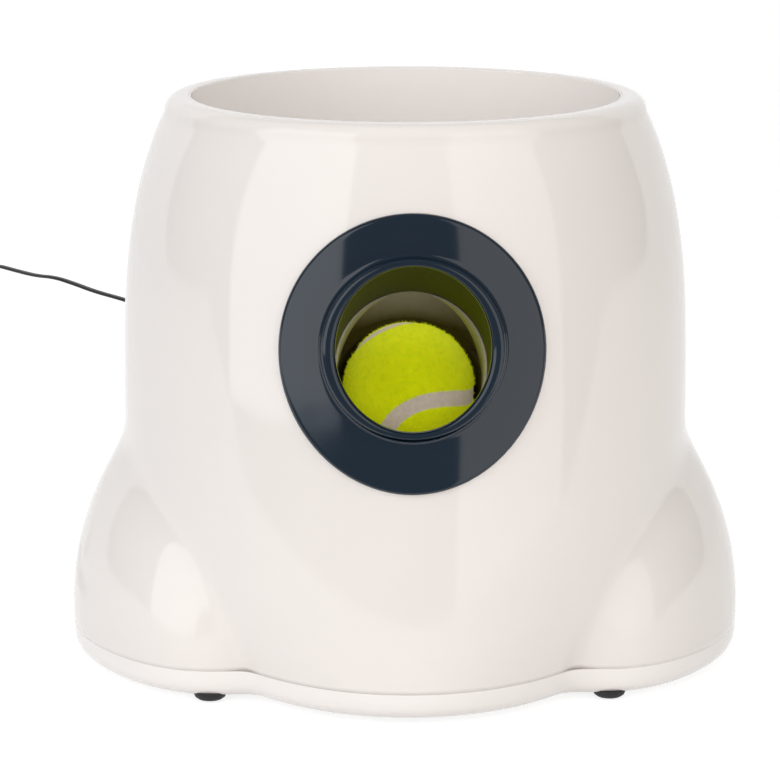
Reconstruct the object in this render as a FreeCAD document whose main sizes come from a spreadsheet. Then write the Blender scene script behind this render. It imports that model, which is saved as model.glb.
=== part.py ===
import FreeCAD, Part
import math
import os

import Sketcher
from FreeCAD import Matrix, Placement, Rotation, Vector
from fcgear import fcgear, involute

# Automatic ball launcher for dogs, in millimetres. The origin is on the floor under the middle of
# the body, +Z is up and the mouth looks along -Y. A ball dropped in the hopper rolls into the
# inclined barrel; a motor winds the sprung plunger back, and the spring then drives the ball out.

driving = {
    # body: a dome with a rounded side foot on each side
    "body_height": 229.8, "body_radius": 115.0, "body_top_drop": 20.4, "body_top_power": 3.6,
    "waist_height": 90.0, "base_width_inset": 24.2, "base_depth_inset": 1.0,
    "base_narrow_power": 2.2, "lobe_offset": 78.6, "lobe_half_width": 59.2,
    "lobe_half_depth": 82.2, "lobe_squareness": 0.3, "lobe_level": 19.7, "lobe_rise": 94.5,
    "lobe_power": 1.6, "blend_power": 36.0, "shell_wall": 2.6, "rim_thickness": 3.0,
    "rim_rounding": 5.0,
    # base cover and feet
    "parting_height": 13.6, "parting_gap": 0.3, "underside_height": 2.5, "base_rounding": 7.2,
    "floor_thickness": 3.2, "lip_height": 3.4, "lip_thickness": 1.4, "seat_clearance": 0.15,
    "foot_radius": 6.5, "foot_shift_x": 0.4, "foot_inset_y": 8.2, "foot_recess": 1.4,
    # screws that hold the base cover
    "screw_head_radius": 2.9, "screw_head_height": 2.2, "screw_radius": 1.45,
    "screw_length": 17.0, "boss_radius": 5.0, "boss_height": 24.0, "boss_side_inset": 11.8,
    "boss_front_inset": 11.5, "rib_thickness": 2.0, "pilot_clearance": 0.1,
    # hopper
    "hopper_inset": 28.5, "hopper_wall": 2.0, "hopper_lip_width": 2.2, "hopper_lip_height": 1.2,
    "funnel_top_height": 196.0, "funnel_outlet_height": 169.0, "spout_inset": 40.0,
    "spout_radius": 28.8, "spout_wall": 2.0,
    # launch ring on the front of the body
    "ring_half_width": 50.7, "ring_half_height": 53.1, "ring_drop": 3.1,
    "ring_thickness": 2.0, "mouth_boss_radius": 34.8, "mouth_boss_drop": 0.3,
    "mouth_boss_proud": 3.4, "mouth_boss_depth": 10.0, "mouth_boss_rounding": 2.4,
    "mouth_radius": 29.2, "collar_radius": 31.4, "collar_length": 34.0,
    # barrel, tilted up towards the mouth
    "mouth_proud": 1.0, "launch_y": -116.0, "launch_height": 149.5, "barrel_tilt": 22.5,
    "barrel_radius": 28.5, "barrel_wall": 2.4, "ball_radius": 26.0, "ball_place": 67.0,
    # plunger
    "strike_gap": 0.3, "striker_radius": 18.0, "pad_thickness": 2.5, "head_thickness": 4.5,
    "rod_radius": 4.0, "spring_length": 48.0, "spring_radius": 9.5, "spring_wire": 1.6,
    "spring_turns": 7.0, "end_plate_thickness": 4.0, "bush_wall": 1.5, "running_clearance": 0.08,
    # rack and gears
    "rack_module": 1.5, "sector_teeth": 21.0, "sector_toothed": 8.0, "rack_pitch_depth": 6.0,
    "bar_half_width": 4.0, "bar_top": 4.5, "bar_end_margin": 2.0, "gear_module": 0.8,
    "wheel_teeth": 60.0, "large_teeth": 48.0, "small_teeth": 12.0, "motor_teeth": 10.0,
    "mesh_backlash": 0.15, "gear_width": 5.0, "pinion_width": 6.0, "shaft_radius": 2.0,
    "hub_radius": 3.6,
    # gearbox
    "plate_left_x": -8.0, "plate_right_x": 20.0, "plate_thickness": 3.0, "tab_height": 12.0,
    "tab_width": 12.0, "spacer_radius": 3.5, "guide_length": 14.0, "guide_height": 8.0,
    "motor_radius": 14.0, "motor_length": 38.0,
    # battery bay for six C cells
    "bay_length": 152.0, "bay_width": 53.0, "bay_y": -36.2, "bay_height": 26.8,
    "tray_wall": 1.6, "door_margin": 4.0, "door_thickness": 1.8, "door_tongue": 2.0,
    "door_travel": 12.0,
    # control panel at the back
    "panel_half_width": 36.0, "panel_half_height": 23.0, "panel_height": 150.0,
    "panel_proud": 1.6, "panel_ledge": 3.0, "button_radius": 5.8, "button_spacing": 34.0,
    "button_proud": 1.5, "button_travel": 1.2, "lens_radius": 1.6, "lens_spacing": 9.0,
    "lens_rise": 13.0, "board_thickness": 1.6,
    # power inlet and lead
    "jack_angle": 140.0, "jack_height": 117.5, "jack_radius": 4.0, "jack_bore": 2.9,
    "plug_radius": 4.6, "plug_length": 16.0, "relief_length": 21.0, "cord_radius": 1.5,
    "coil_x": -216.0, "coil_y": 186.0, "coil_mid_radius": 16.5, "coil_half_width": 4.5,
    "coil_thickness": 12.0, "tie_thickness": 0.8, "adapter_x": -229.0, "adapter_y": 112.0,
    "adapter_width": 42.0, "adapter_length": 62.0, "adapter_thickness": 28.0,
    "adapter_rounding": 3.0, "pin_radius": 2.0, "pin_length": 19.0, "pin_spacing": 19.0,
}

doc = FreeCAD.newDocument("ball_launcher")
sheet = doc.addObject("Spreadsheet::Sheet", "Dimensions")
for row, (alias, number) in enumerate(driving.items(), start=1):
    sheet.set(f"A{row}", alias)
    sheet.set(f"B{row}", str(number))
    sheet.setAlias(f"B{row}", alias)
doc.recompute()


class Size:
    """A length with the spreadsheet formula that gives it."""

    def __init__(self, value, text):
        self.value = value
        self.text = text

    def join(self, other, sign, value):
        return Size(value, f"({self.text} {sign} {as_size(other).text})")

    def __add__(self, other):
        return self.join(other, "+", self.value + as_size(other).value)

    def __sub__(self, other):
        return self.join(other, "-", self.value - as_size(other).value)

    def __mul__(self, other):
        return self.join(other, "*", self.value * as_size(other).value)

    def __truediv__(self, other):
        return self.join(other, "/", self.value / as_size(other).value)

    def __radd__(self, other):
        return as_size(other) + self

    def __rsub__(self, other):
        return as_size(other) - self

    def __rmul__(self, other):
        return as_size(other) * self

    def __neg__(self):
        return Size(-self.value, f"(0 - {self.text})")

    def __float__(self):
        return self.value


def as_size(number):
    if isinstance(number, Size):
        return number
    return Size(float(number), repr(float(number)))


class Dimensions:
    """Every driving dimension of the sheet as an attribute."""

    def __init__(self):
        for alias in driving:
            setattr(self, alias, Size(float(sheet.get(alias)), f"Dimensions.{alias}"))


D = Dimensions()
# the base follows the body, its feet stand under the side feet, and its screws keep inside both
D.base_half_width = D.body_radius - D.base_width_inset
D.base_half_depth = D.body_radius - D.base_depth_inset
D.foot_offset_x = D.lobe_offset + D.foot_shift_x
D.foot_offset_y = D.lobe_half_depth - D.foot_inset_y
D.boss_side_x = D.lobe_offset + D.lobe_half_width - D.boss_side_inset
D.boss_front_y = D.base_half_depth - D.boss_front_inset
# the bowl follows the body, and the mouth lies where the barrel's axis meets the body's front
D.hopper_radius = D.body_radius - D.hopper_inset
D.spout_y = -(D.hopper_radius - D.spout_inset)
D.mouth_y = -(D.body_radius + D.mouth_proud)
D.mouth_rise = (D.launch_y - D.mouth_y) * math.tan(math.radians(float(D.barrel_tilt)))
D.mouth_height = D.launch_height + D.mouth_rise
D.ring_height = D.mouth_height - D.ring_drop
D.mouth_boss_height = D.mouth_height - D.mouth_boss_drop
D.mouth_boss_front = -(D.body_radius + D.mouth_boss_proud)
pieces = []
sheets_made = {}


def number(size):
    return float(as_size(size))


def bind(item, prop, size):
    size = as_size(size)
    if hasattr(item, prop):
        setattr(item, prop, size.value)
    item.setExpression(prop, size.text)


def vector(x, y, z):
    return Vector(number(x), number(y), number(z))


def place(at=(0, 0, 0), along=(0, 0, 1), turn=0.0):
    spin = Rotation(Vector(0, 0, 1), vector(*along))
    return Placement(vector(*at), spin.multiply(Rotation(Vector(0, 0, 1), turn)))


def new(kind, name):
    count = sheets_made.get(name, 0)
    sheets_made[name] = count + 1
    return doc.addObject(kind, name if count == 0 else f"{name}_{count}")


def cylinder(name, radius, height, at=(0, 0, 0), along=(0, 0, 1)):
    item = new("Part::Cylinder", name)
    bind(item, "Radius", radius)
    bind(item, "Height", height)
    item.Placement = place(at, along)
    return item


def cone(name, radius, end_radius, height, at=(0, 0, 0), along=(0, 0, 1)):
    item = new("Part::Cone", name)
    bind(item, "Radius1", radius)
    bind(item, "Radius2", end_radius)
    bind(item, "Height", height)
    item.Placement = place(at, along)
    return item


def box(name, length, width, height, at, along=(0, 0, 1), turn=0.0):
    """A box whose middle in length and width stands at the point."""
    item = new("Part::Box", name)
    bind(item, "Length", length)
    bind(item, "Width", width)
    bind(item, "Height", height)
    shift = Placement(vector(-number(length) / 2, -number(width) / 2, 0), Rotation())
    item.Placement = place(at, along, turn).multiply(shift)
    return item


def fuse(name, parts):
    item = new("Part::MultiFuse", name)
    item.Shapes = parts
    return item


def cut(name, base, tools):
    item = new("Part::Cut", name)
    item.Base = base
    item.Tool = tools[0] if len(tools) == 1 else fuse(f"{name}_tools", tools)
    return item


def common(name, first, second):
    item = new("Part::Common", name)
    item.Base = first
    item.Tool = second
    return item


def ring(name, inner, outer, height, at=(0, 0, 0), along=(0, 0, 1)):
    solid = cylinder(f"{name}_outside", outer, height, at, along)
    return cut(name, solid, [cylinder(f"{name}_bore", inner, height, at, along)])


def made(name, shape):
    """A feature whose shape is worked out here, from the sheet's sizes."""
    item = new("Part::Feature", name)
    item.Shape = shape
    return item


def piece(item, label, placement=None):
    item.Label = label
    if placement is not None:
        item.Placement = placement
    pieces.append(item)
    return item


def group(name, items):
    """Identical small solids that stay separate in one node."""
    item = new("Part::Compound", name)
    item.Links = items
    return item


# sketches, and the solids padded, cut or turned from them

def plane_of(body, role):
    return next(f for f in body.Origin.OriginFeatures if f.Role == role)


def outline(body, name, role, points):
    """A closed sketch of straight lines whose corners all follow the sheet."""
    sketch = body.newObject("Sketcher::SketchObject", name)
    sketch.AttachmentSupport = (plane_of(body, role), [""])
    sketch.MapMode = "FlatFace"
    flat = [Vector(number(x), number(y), 0) for x, y in points]
    for i, start in enumerate(flat):
        sketch.addGeometry(Part.LineSegment(start, flat[(i + 1) % len(flat)]), False)
    for i in range(len(flat)):
        sketch.addConstraint(Sketcher.Constraint("Coincident", i, 2, (i + 1) % len(flat), 1))
    for i, (x, y) in enumerate(points):
        for kind, size in (("DistanceX", x), ("DistanceY", y)):
            where = sketch.addConstraint(Sketcher.Constraint(kind, -1, 1, i, 1, number(size)))
            sketch.setExpression(f"Constraints[{where}]", as_size(size).text)
    return sketch


def circles(body, name, role, rounds):
    """A sketch of circles, each given as x, y, radius."""
    sketch = body.newObject("Sketcher::SketchObject", name)
    sketch.AttachmentSupport = (plane_of(body, role), [""])
    sketch.MapMode = "FlatFace"
    for i, (x, y, radius) in enumerate(rounds):
        centre = Vector(number(x), number(y), 0)
        sketch.addGeometry(Part.Circle(centre, Vector(0, 0, 1), number(radius)), False)
        for constraint, size in (
            (Sketcher.Constraint("DistanceX", -1, 1, i, 3, number(x)), x),
            (Sketcher.Constraint("DistanceY", -1, 1, i, 3, number(y)), y),
            (Sketcher.Constraint("Radius", i, number(radius)), radius),
        ):
            where = sketch.addConstraint(constraint)
            sketch.setExpression(f"Constraints[{where}]", as_size(size).text)
    return sketch


def body(name):
    return new("PartDesign::Body", name)


def pad(owner, sketch, length, reverse=False):
    item = owner.newObject("PartDesign::Pad", f"{sketch.Name}_pad")
    item.Profile = sketch
    item.Reversed = reverse
    bind(item, "Length", length)
    owner.Tip = item
    return item


def pocket(owner, sketch, length, reverse=False):
    item = owner.newObject("PartDesign::Pocket", f"{sketch.Name}_pocket")
    item.Profile = sketch
    item.Reversed = reverse
    bind(item, "Length", length)
    owner.Tip = item
    return item


def revolve(owner, sketch, role):
    item = owner.newObject("PartDesign::Revolution", f"{sketch.Name}_revolution")
    item.Profile = sketch
    item.ReferenceAxis = (plane_of(owner, role), [""])
    item.Angle = 360.0
    owner.Tip = item
    return item


# body surface

def dome_radius(z):
    """Radius of the round body above the waist."""
    waist, top = number(D.waist_height), number(D.body_height)
    rise = max(z - waist, 0.0) / (top - waist)
    return number(D.body_radius) - number(D.body_top_drop) * rise ** number(D.body_top_power)


def lobe_radius(angle, z):
    """Distance from the axis to the far side of a side foot, or 0 where it has ended."""
    level = (z - number(D.lobe_level)) / number(D.lobe_rise)
    scale = max(1 - level * level, 0.0) ** (1 / number(D.lobe_power))
    if scale < 0.02:
        return 0.0
    across, along = abs(math.cos(angle)), math.sin(angle)
    half_width, half_depth = number(D.lobe_half_width) * scale, number(D.lobe_half_depth) * scale
    square, offset = number(D.lobe_squareness), number(D.lobe_offset)
    radius = offset + half_width + half_depth
    for _ in range(40):
        x, y = (radius * across - offset) / half_width, radius * along / half_depth
        miss = x * x + y * y + square * x * x * y * y - 1
        dx, dy = across / half_width, along / half_depth
        slope = 2 * x * dx + 2 * y * dy + 2 * square * (x * dx * y * y + y * dy * x * x)
        if slope < 1e-6:
            return 0.0
        step = miss / slope
        radius -= step
        if abs(step) < 1e-7:
            return radius
    return 0.0


def body_radius_at(angle, z):
    """The dome's section and the side feet, joined by a soft crease."""
    z = max(z, number(D.parting_height))
    waist, parting = number(D.waist_height), number(D.parting_height)
    fall = max(waist - z, 0.0) / (waist - parting)
    dome, widest = dome_radius(z), number(D.body_radius)
    half_x = dome - (widest - number(D.base_half_width)) * fall ** number(D.base_narrow_power)
    half_y = dome - (widest - number(D.base_half_depth)) * fall ** 2
    section = 1 / math.hypot(math.cos(angle) / half_x, math.sin(angle) / half_y)
    power = number(D.blend_power)
    return (section ** power + lobe_radius(angle, z) ** power) ** (1 / power)


AROUND = 96


def solid_over(poles):
    """A closed solid over rows of poles: a smooth skin round the rows and two flat ends."""
    count, around = len(poles), len(poles[0])
    knots = list(range(count - 2))
    ends = [4] + [1] * (count - 4) + [4]
    surface = Part.BSplineSurface()
    surface.buildFromPolesMultsKnots(
        poles, ends, [1] * (around + 1), knots, list(range(around + 1)), False, True, 3, 3)
    side = surface.toShape()
    low = surface.uIso(0).toShape()
    high = surface.uIso(count - 3).toShape()
    shell = Part.makeShell([side, Part.Face(Part.Wire(low)), Part.Face(Part.Wire(high))])
    solid = Part.makeSolid(shell)
    if solid.Volume < 0:
        solid.reverse()
    solid.fix(1e-4, 1e-4, 1e-3)
    return solid


def formula_solid(rows):
    """The body's solid through rows of (height, inset)."""
    poles = []
    for z, inset in rows:
        row = []
        for i in range(AROUND):
            angle = 2 * math.pi * i / AROUND
            radius = body_radius_at(angle, z) - inset
            row.append(Vector(radius * math.cos(angle), radius * math.sin(angle), z))
        poles.append(row)
    return solid_over(poles)


def heights(low, high, step):
    count = max(int(math.ceil((high - low) / step)), 4)
    return [low + (high - low) * i / count for i in range(count + 1)]


def quarter(radius, steps=5):
    """Depth and inset along a rounded edge, from its upright end to its flat end."""
    turns = [math.pi / 2 * i / steps for i in range(1, steps + 1)]
    return [(radius * math.sin(t), radius * (1 - math.cos(t))) for t in turns]


def dome_solid(inset, low, high, rounding=0.0):
    rows = [(z, inset) for z in heights(low, high - rounding, 9.0)]
    if rounding:
        rows += [(high - rounding + rise, inset + back) for rise, back in quarter(rounding)]
    return formula_solid(rows)


def tray_solid(inset, low, high, rounding):
    rows = [(low + rounding - fall, inset + back) for fall, back in reversed(quarter(rounding))]
    rows += [(z, inset) for z in heights(low + rounding, high, 4.0)]
    return formula_solid(rows)


def dome_band(name, inner, outer, low, high):
    """A skin that follows the dome between two offsets, turned about the body's axis."""
    def edge(offset):
        curve = Part.BSplineCurve()
        curve.interpolate([Vector(dome_radius(z) + offset, 0, z) for z in heights(low, high, 8.0)])
        return curve.toShape()

    near, far = edge(number(inner)), edge(number(outer))
    near_ends, far_ends = near.Vertexes, far.Vertexes
    wire = Part.Wire([
        near, Part.makeLine(near_ends[-1].Point, far_ends[-1].Point), far,
        Part.makeLine(far_ends[0].Point, near_ends[0].Point)])
    return made(name, Part.Face(wire).revolve(Vector(0, 0, 0), Vector(0, 0, 1), 360))


# launch frame: x runs back along the barrel from near the mouth, y across it upwards, z right -----

tilt = math.radians(number(D.barrel_tilt))
back = Vector(0, math.cos(tilt), -math.sin(tilt))
up = Vector(0, math.sin(tilt), math.cos(tilt))
right = Vector(1, 0, 0)
launch_start = vector(0, D.launch_y, D.launch_height)
mouth_place = number(D.mouth_y - D.launch_y) / math.cos(tilt)
launch_frame = Placement(Matrix(
    back.x, up.x, right.x, launch_start.x,
    back.y, up.y, right.y, launch_start.y,
    back.z, up.z, right.z, launch_start.z,
    0, 0, 0, 1))


def in_launch(u, w, x=0.0):
    """A point of the launch frame, in the body's frame."""
    return launch_start + back * number(u) + up * number(w) + right * number(x)


strike_place = D.ball_place + D.ball_radius + D.strike_gap
head_back = strike_place + D.pad_thickness + D.head_thickness
end_plate_place = head_back + D.spring_length
bar_start = end_plate_place + D.end_plate_thickness + 2.5
pitch = math.pi * number(D.rack_module)
pitches = number(D.sector_toothed) - 1
stroke = pitches * pitch
mesh_u = number(bar_start) + stroke + pitch / 2 + 2.0
bar_end = mesh_u + pitch / 2 + number(D.rack_module) + number(D.bar_end_margin)
sector_pitch_radius = number(D.rack_module * D.sector_teeth / 2)
sector_at = (mesh_u, -(number(D.rack_pitch_depth) + sector_pitch_radius + number(D.mesh_backlash)))


def gear_distance(first, second):
    return number(D.gear_module * (first + second) / 2 + D.mesh_backlash)


def beside(centre, distance, angle):
    turn = math.radians(angle)
    return (centre[0] + distance * math.cos(turn), centre[1] + distance * math.sin(turn))


second_angle, first_angle, motor_angle = -100.0, -170.0, 165.0
second_at = beside(sector_at, gear_distance(D.wheel_teeth, D.small_teeth), second_angle)
first_at = beside(second_at, gear_distance(D.large_teeth, D.small_teeth), first_angle)
motor_at = beside(first_at, gear_distance(D.large_teeth, D.motor_teeth), motor_angle)


# housing

def screw_spots():
    side, front = number(D.boss_side_x), number(D.boss_front_y)
    return [(side, 0), (-side, 0), (0, -front), (0, front)]


def outward_jack():
    """Unit direction in which the power inlet looks, at the back on the left."""
    turn = math.radians(180 - number(D.jack_angle))
    return Vector(-math.sin(turn), math.cos(turn), 0)


def jack_point(distance):
    """A point on the inlet's axis, measured from the body's surface outwards."""
    radius = dome_radius(number(D.jack_height)) + number(distance)
    return outward_jack() * radius + Vector(0, 0, number(D.jack_height))


def panel_prism(name, half_width, half_height, y_from, depth):
    at = (0, y_from, D.panel_height)
    return box(name, half_width * 2, half_height * 2, depth, at, (0, 1, 0))


def make_body_shell():
    low = number(D.parting_height + D.parting_gap)
    high, wall = number(D.body_height), number(D.shell_wall)
    outside = dome_solid(0.0, low, high, number(D.rim_rounding))
    inside = dome_solid(wall, low - 4.0, high - number(D.rim_thickness))
    hollow = outside.cut(inside)
    # screw bosses, each tied to the wall by a rib
    boss_top = low + number(D.boss_height)
    for x, y in screw_spots():
        reach = body_radius_at(math.atan2(y, x), low)
        out = Vector(x, y, 0).normalize()
        boss = Part.makeCylinder(number(D.boss_radius), boss_top - low, Vector(x, y, low))
        thick = number(D.rib_thickness)
        rib = Part.makeBox(reach - Vector(x, y, 0).Length, thick, boss_top - low,
                           Vector(0, -thick / 2, 0))
        rib.rotate(Vector(0, 0, 0), Vector(0, 0, 1), math.degrees(math.atan2(y, x)))
        rib.translate(Vector(x, y, low) + out * 2.0)
        hollow = hollow.fuse(boss.fuse(rib).common(outside))
    shell = made("shell_walls", hollow.removeSplitter())
    tools = [
        cylinder("hopper_hole", D.hopper_radius + D.hopper_wall + D.seat_clearance * 2,
                 D.rim_thickness + 4, (0, 0, D.body_height - D.rim_thickness - 2)),
        cylinder("mouth_hole", D.mouth_boss_radius + 1.2, 40,
                 (0, D.mouth_boss_front - 4, D.mouth_boss_height), (0, 1, 0)),
        panel_prism("panel_hole", D.panel_half_width - D.panel_ledge,
                    D.panel_half_height - D.panel_ledge, D.body_radius - 20, 30),
        cylinder("jack_hole", D.jack_radius + D.seat_clearance, 20,
                 tuple(jack_point(-14)), tuple(outward_jack())),
    ]
    for x, y in screw_spots():
        tools.append(cylinder("pilot_hole", D.screw_radius + D.pilot_clearance, D.screw_length,
                              (x, y, low - 1)))
    piece(cut("shell_cut", shell, tools), "body_shell")


def make_base_cover():
    low, high = number(D.underside_height), number(D.parting_height)
    floor, rounding = number(D.floor_thickness), number(D.base_rounding)
    # the lip stands inside the joint and centres the shell
    lip_out = number(D.shell_wall + D.seat_clearance * 2)
    lip_in = lip_out + number(D.lip_thickness)
    lip_high = high + number(D.lip_height)
    outside = tray_solid(0.0, low, high, rounding)
    lip = formula_solid([(z, lip_out) for z in heights(high - 4.0, lip_high, 1.5)])
    for x, y in screw_spots():
        notch = Part.makeBox(40, number(D.boss_radius) * 2 + 1, 20,
                             Vector(-12, -number(D.boss_radius) - 0.5, 0))
        notch.rotate(Vector(0, 0, 0), Vector(0, 0, 1), math.degrees(math.atan2(y, x)))
        notch.translate(Vector(x, y, high - 0.3))
        lip = lip.cut(notch)
    inside = tray_solid(lip_in, low + floor, lip_high + 4.0, rounding - lip_in)
    walls = made("base_walls", outside.fuse(lip).cut(inside))
    floor_top = D.underside_height + D.floor_thickness
    posts = []
    for x, y in screw_spots():
        posts.append(cylinder("base_boss", D.boss_radius, D.parting_height - floor_top + 0.5,
                              (x, y, floor_top - 0.5)))
    for x, y in gearbox_tabs():
        posts.append(cylinder("gearbox_post", D.tab_width / 2 - 1, D.tab_height - floor_top + 0.5,
                              (x, y, floor_top - 0.5)))
    for x, y in board_posts():
        posts.append(cylinder("board_post", 3.0, D.tab_height - floor_top + 0.5,
                              (x, y, floor_top - 0.5)))
    solid = fuse("base_solid", [walls] + posts)
    tools = []
    for x, y in screw_spots():
        tools.append(cylinder("screw_way", D.screw_radius + 0.25, 20, (x, y, D.underside_height - 2)))
        tools.append(cylinder("head_way", D.screw_head_radius + 0.4,
                              D.screw_head_height + 3.4, (x, y, D.underside_height - 2)))
    for x, y in gearbox_tabs():
        tools.append(cylinder("tab_pilot", D.screw_radius + 0.05, 8, (x, y, D.tab_height - 6)))
    for x, y in board_posts():
        tools.append(cylinder("board_pilot", 1.35, 8, (x, y, D.tab_height - 6)))
    for x, y in foot_spots():
        tools.append(cylinder("foot_seat", D.foot_radius + 0.1, D.foot_recess + 2,
                              (x, y, D.underside_height - 2)))
    # battery opening, the door's recess and the slots for its side tongues
    door_length, door_width = door_size()
    recess = D.door_thickness + 0.3
    tools += [
        box("bay_way", D.bay_length, D.bay_width, 20, (0, D.bay_y, D.underside_height - 2)),
        box("door_recess", door_length + 0.6, door_width + D.door_travel + 0.6, recess + 2,
            (0, D.bay_y + D.door_travel / 2, D.underside_height - 2)),
        box("tongue_slot", door_length + D.door_tongue * 2 + 0.6,
            door_width + D.door_travel + 0.6, D.door_thickness / 2 + 0.25,
            (0, D.bay_y + D.door_travel / 2,
             D.underside_height + recess - D.door_thickness / 2 - 0.25)),
    ]
    piece(cut("base_cut", solid, tools), "base_cover")


def foot_spots():
    x, y = number(D.foot_offset_x), number(D.foot_offset_y)
    return [(-x, -y), (x, -y), (-x, y), (x, y)]


def make_feet():
    names = ["foot_front_left", "foot_front_right", "foot_rear_left", "foot_rear_right"]
    for name, (x, y) in zip(names, foot_spots()):
        owner = body(f"{name}_body")
        top = D.underside_height + D.foot_recess - 0.05
        seat, radius = D.underside_height, D.foot_radius
        profile = outline(owner, f"{name}_profile", "XZ_Plane", [
            (0, 0), (radius * 0.45, 0), (radius * 0.75, seat * 0.2), (radius * 0.93, seat * 0.55),
            (radius, seat), (radius, top), (0, top)])
        revolve(owner, profile, "Z_Axis")
        piece(owner, name, Placement(Vector(x, y, 0), Rotation()))


def make_base_screws():
    screws = []
    for x, y in screw_spots():
        head_low = D.underside_height + 1.0
        head = cylinder("head", D.screw_head_radius, D.screw_head_height, (x, y, head_low))
        shank = cylinder("shank", D.screw_radius, D.screw_length,
                         (x, y, head_low + D.screw_head_height - 0.5))
        drive = box("drive", D.screw_head_radius * 1.3, 0.8, 1.2, (x, y, head_low - 0.4))
        cross = box("cross", 0.8, D.screw_head_radius * 1.3, 1.2, (x, y, head_low - 0.4))
        screws.append(cut("base_screw", fuse("screw_solid", [head, shank]), [drive, cross]))
    piece(group("base_screw_set", screws), "base_screws")


# hopper, ring and barrel

def funnel(name, extra):
    """The leaning cone between the round bowl and the spout, grown outwards by extra."""
    top, bottom = number(D.funnel_top_height), number(D.funnel_outlet_height)
    sink = number(extra)
    wide = Part.makeCircle(number(D.hopper_radius) + sink, Vector(0, 0, top - sink))
    narrow = Part.makeCircle(number(D.spout_radius) + sink, vector(0, D.spout_y, bottom - sink))
    return made(name, Part.makeLoft([Part.Wire(wide), Part.Wire(narrow)], True, True))


def make_hopper():
    wall, top = D.hopper_wall, D.body_height
    bowl_low = D.funnel_top_height
    lip_radius = D.hopper_radius + D.hopper_wall + D.hopper_lip_width
    outside = fuse("hopper_outside", [
        cylinder("bowl_outside", D.hopper_radius + wall, top - bowl_low + wall, (0, 0, bowl_low - wall)),
        cylinder("bowl_lip", lip_radius, D.hopper_lip_height, (0, 0, top + 0.05)),
        cylinder("lip_neck", D.hopper_radius + wall, 1.0, (0, 0, top - 0.5)),
        funnel("funnel_outside", wall),
        cylinder("spout_outside", D.spout_radius + D.spout_wall,
                 D.funnel_outlet_height - 140, (0, D.spout_y, 140)),
    ])
    inside = [
        cylinder("bowl_inside", D.hopper_radius, top - bowl_low + 4, (0, 0, bowl_low)),
        funnel("funnel_inside", 0.0),
        cylinder("spout_inside", D.spout_radius, D.funnel_outlet_height - 136, (0, D.spout_y, 138)),
        cylinder("saddle", D.barrel_radius + D.barrel_wall + 0.8, 130,
                 tuple(in_launch(-5, 0)), tuple(back)),
    ]
    piece(cut("hopper_cut", outside, inside), "hopper_bowl")


def make_launch_ring():
    clear = D.seat_clearance
    skin = dome_band("ring_skin", clear, clear + D.ring_thickness, 92.0, 206.0)
    ellipse = Part.Ellipse(Vector(0, 0, 0), number(D.ring_half_height), number(D.ring_half_width))
    face = Part.Face(Part.Wire(ellipse.toShape()))
    prism = face.extrude(Vector(0, 0, 60))
    # the ellipse's long axis is upright, and the prism points to the front
    prism.transformShape(Matrix(0, 1, 0, 0, 0, 0, -1, 0, -1, 0, 0, 0, 0, 0, 0, 1))
    prism.translate(vector(0, -75, D.ring_height))
    flange = common("ring_flange", skin, made("ring_outline", prism))
    boss = cylinder("mouth_boss", D.mouth_boss_radius, D.mouth_boss_depth,
                    (0, D.mouth_boss_front + D.mouth_boss_depth, D.mouth_boss_height), (0, -1, 0))
    rounded = new("Part::Fillet", "mouth_boss_rounded")
    rounded.Base = boss
    doc.recompute()
    front = [i + 1 for i, edge in enumerate(boss.Shape.Edges)
             if len(edge.Vertexes) == 1 and abs(edge.BoundBox.YMax - number(D.mouth_boss_front)) < 0.1]
    rounding = number(D.mouth_boss_rounding)
    rounded.Edges = [(i, rounding, rounding) for i in front]
    collar = cylinder("collar", D.collar_radius, D.collar_length - mouth_place,
                      tuple(in_launch(mouth_place, 0)), tuple(back))
    # the collar starts inside the boss, behind its rounded front
    trim = box("collar_trim", 120, 40, 120,
               (0, D.mouth_boss_front - 16.5, D.mouth_boss_height - 60))
    collar = cut("collar_trimmed", collar, [trim])
    bore = cylinder("mouth_bore", D.mouth_radius, D.collar_length - mouth_place + 60,
                    tuple(in_launch(mouth_place - 30, 0)), tuple(back))
    piece(cut("ring_cut", fuse("ring_solid", [flange, rounded, collar]), [bore]), "launch_ring")


def make_barrel():
    start = D.collar_length + 0.1
    outer = D.barrel_radius + D.barrel_wall
    tube = cylinder("barrel_outside", outer, end_plate_place - start,
                    tuple(in_launch(start, 0)), tuple(back))
    bore = cylinder("barrel_bore", D.barrel_radius, 200, tuple(in_launch(0, 0)), tuple(back))
    feed = cylinder("feed_hole", D.spout_radius, 60,
                    (0, D.spout_y, in_launch(float(D.ball_place), 0).z + 8), (0, 0, 1))
    sensor = cylinder("sensor_window", 2.6, 80,
                      (-40, in_launch(D.ball_place, 4).y, in_launch(D.ball_place, 4).z), (1, 0, 0))
    piece(cut("barrel_cut", tube, [bore, feed, sensor]), "launch_barrel")


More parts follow.
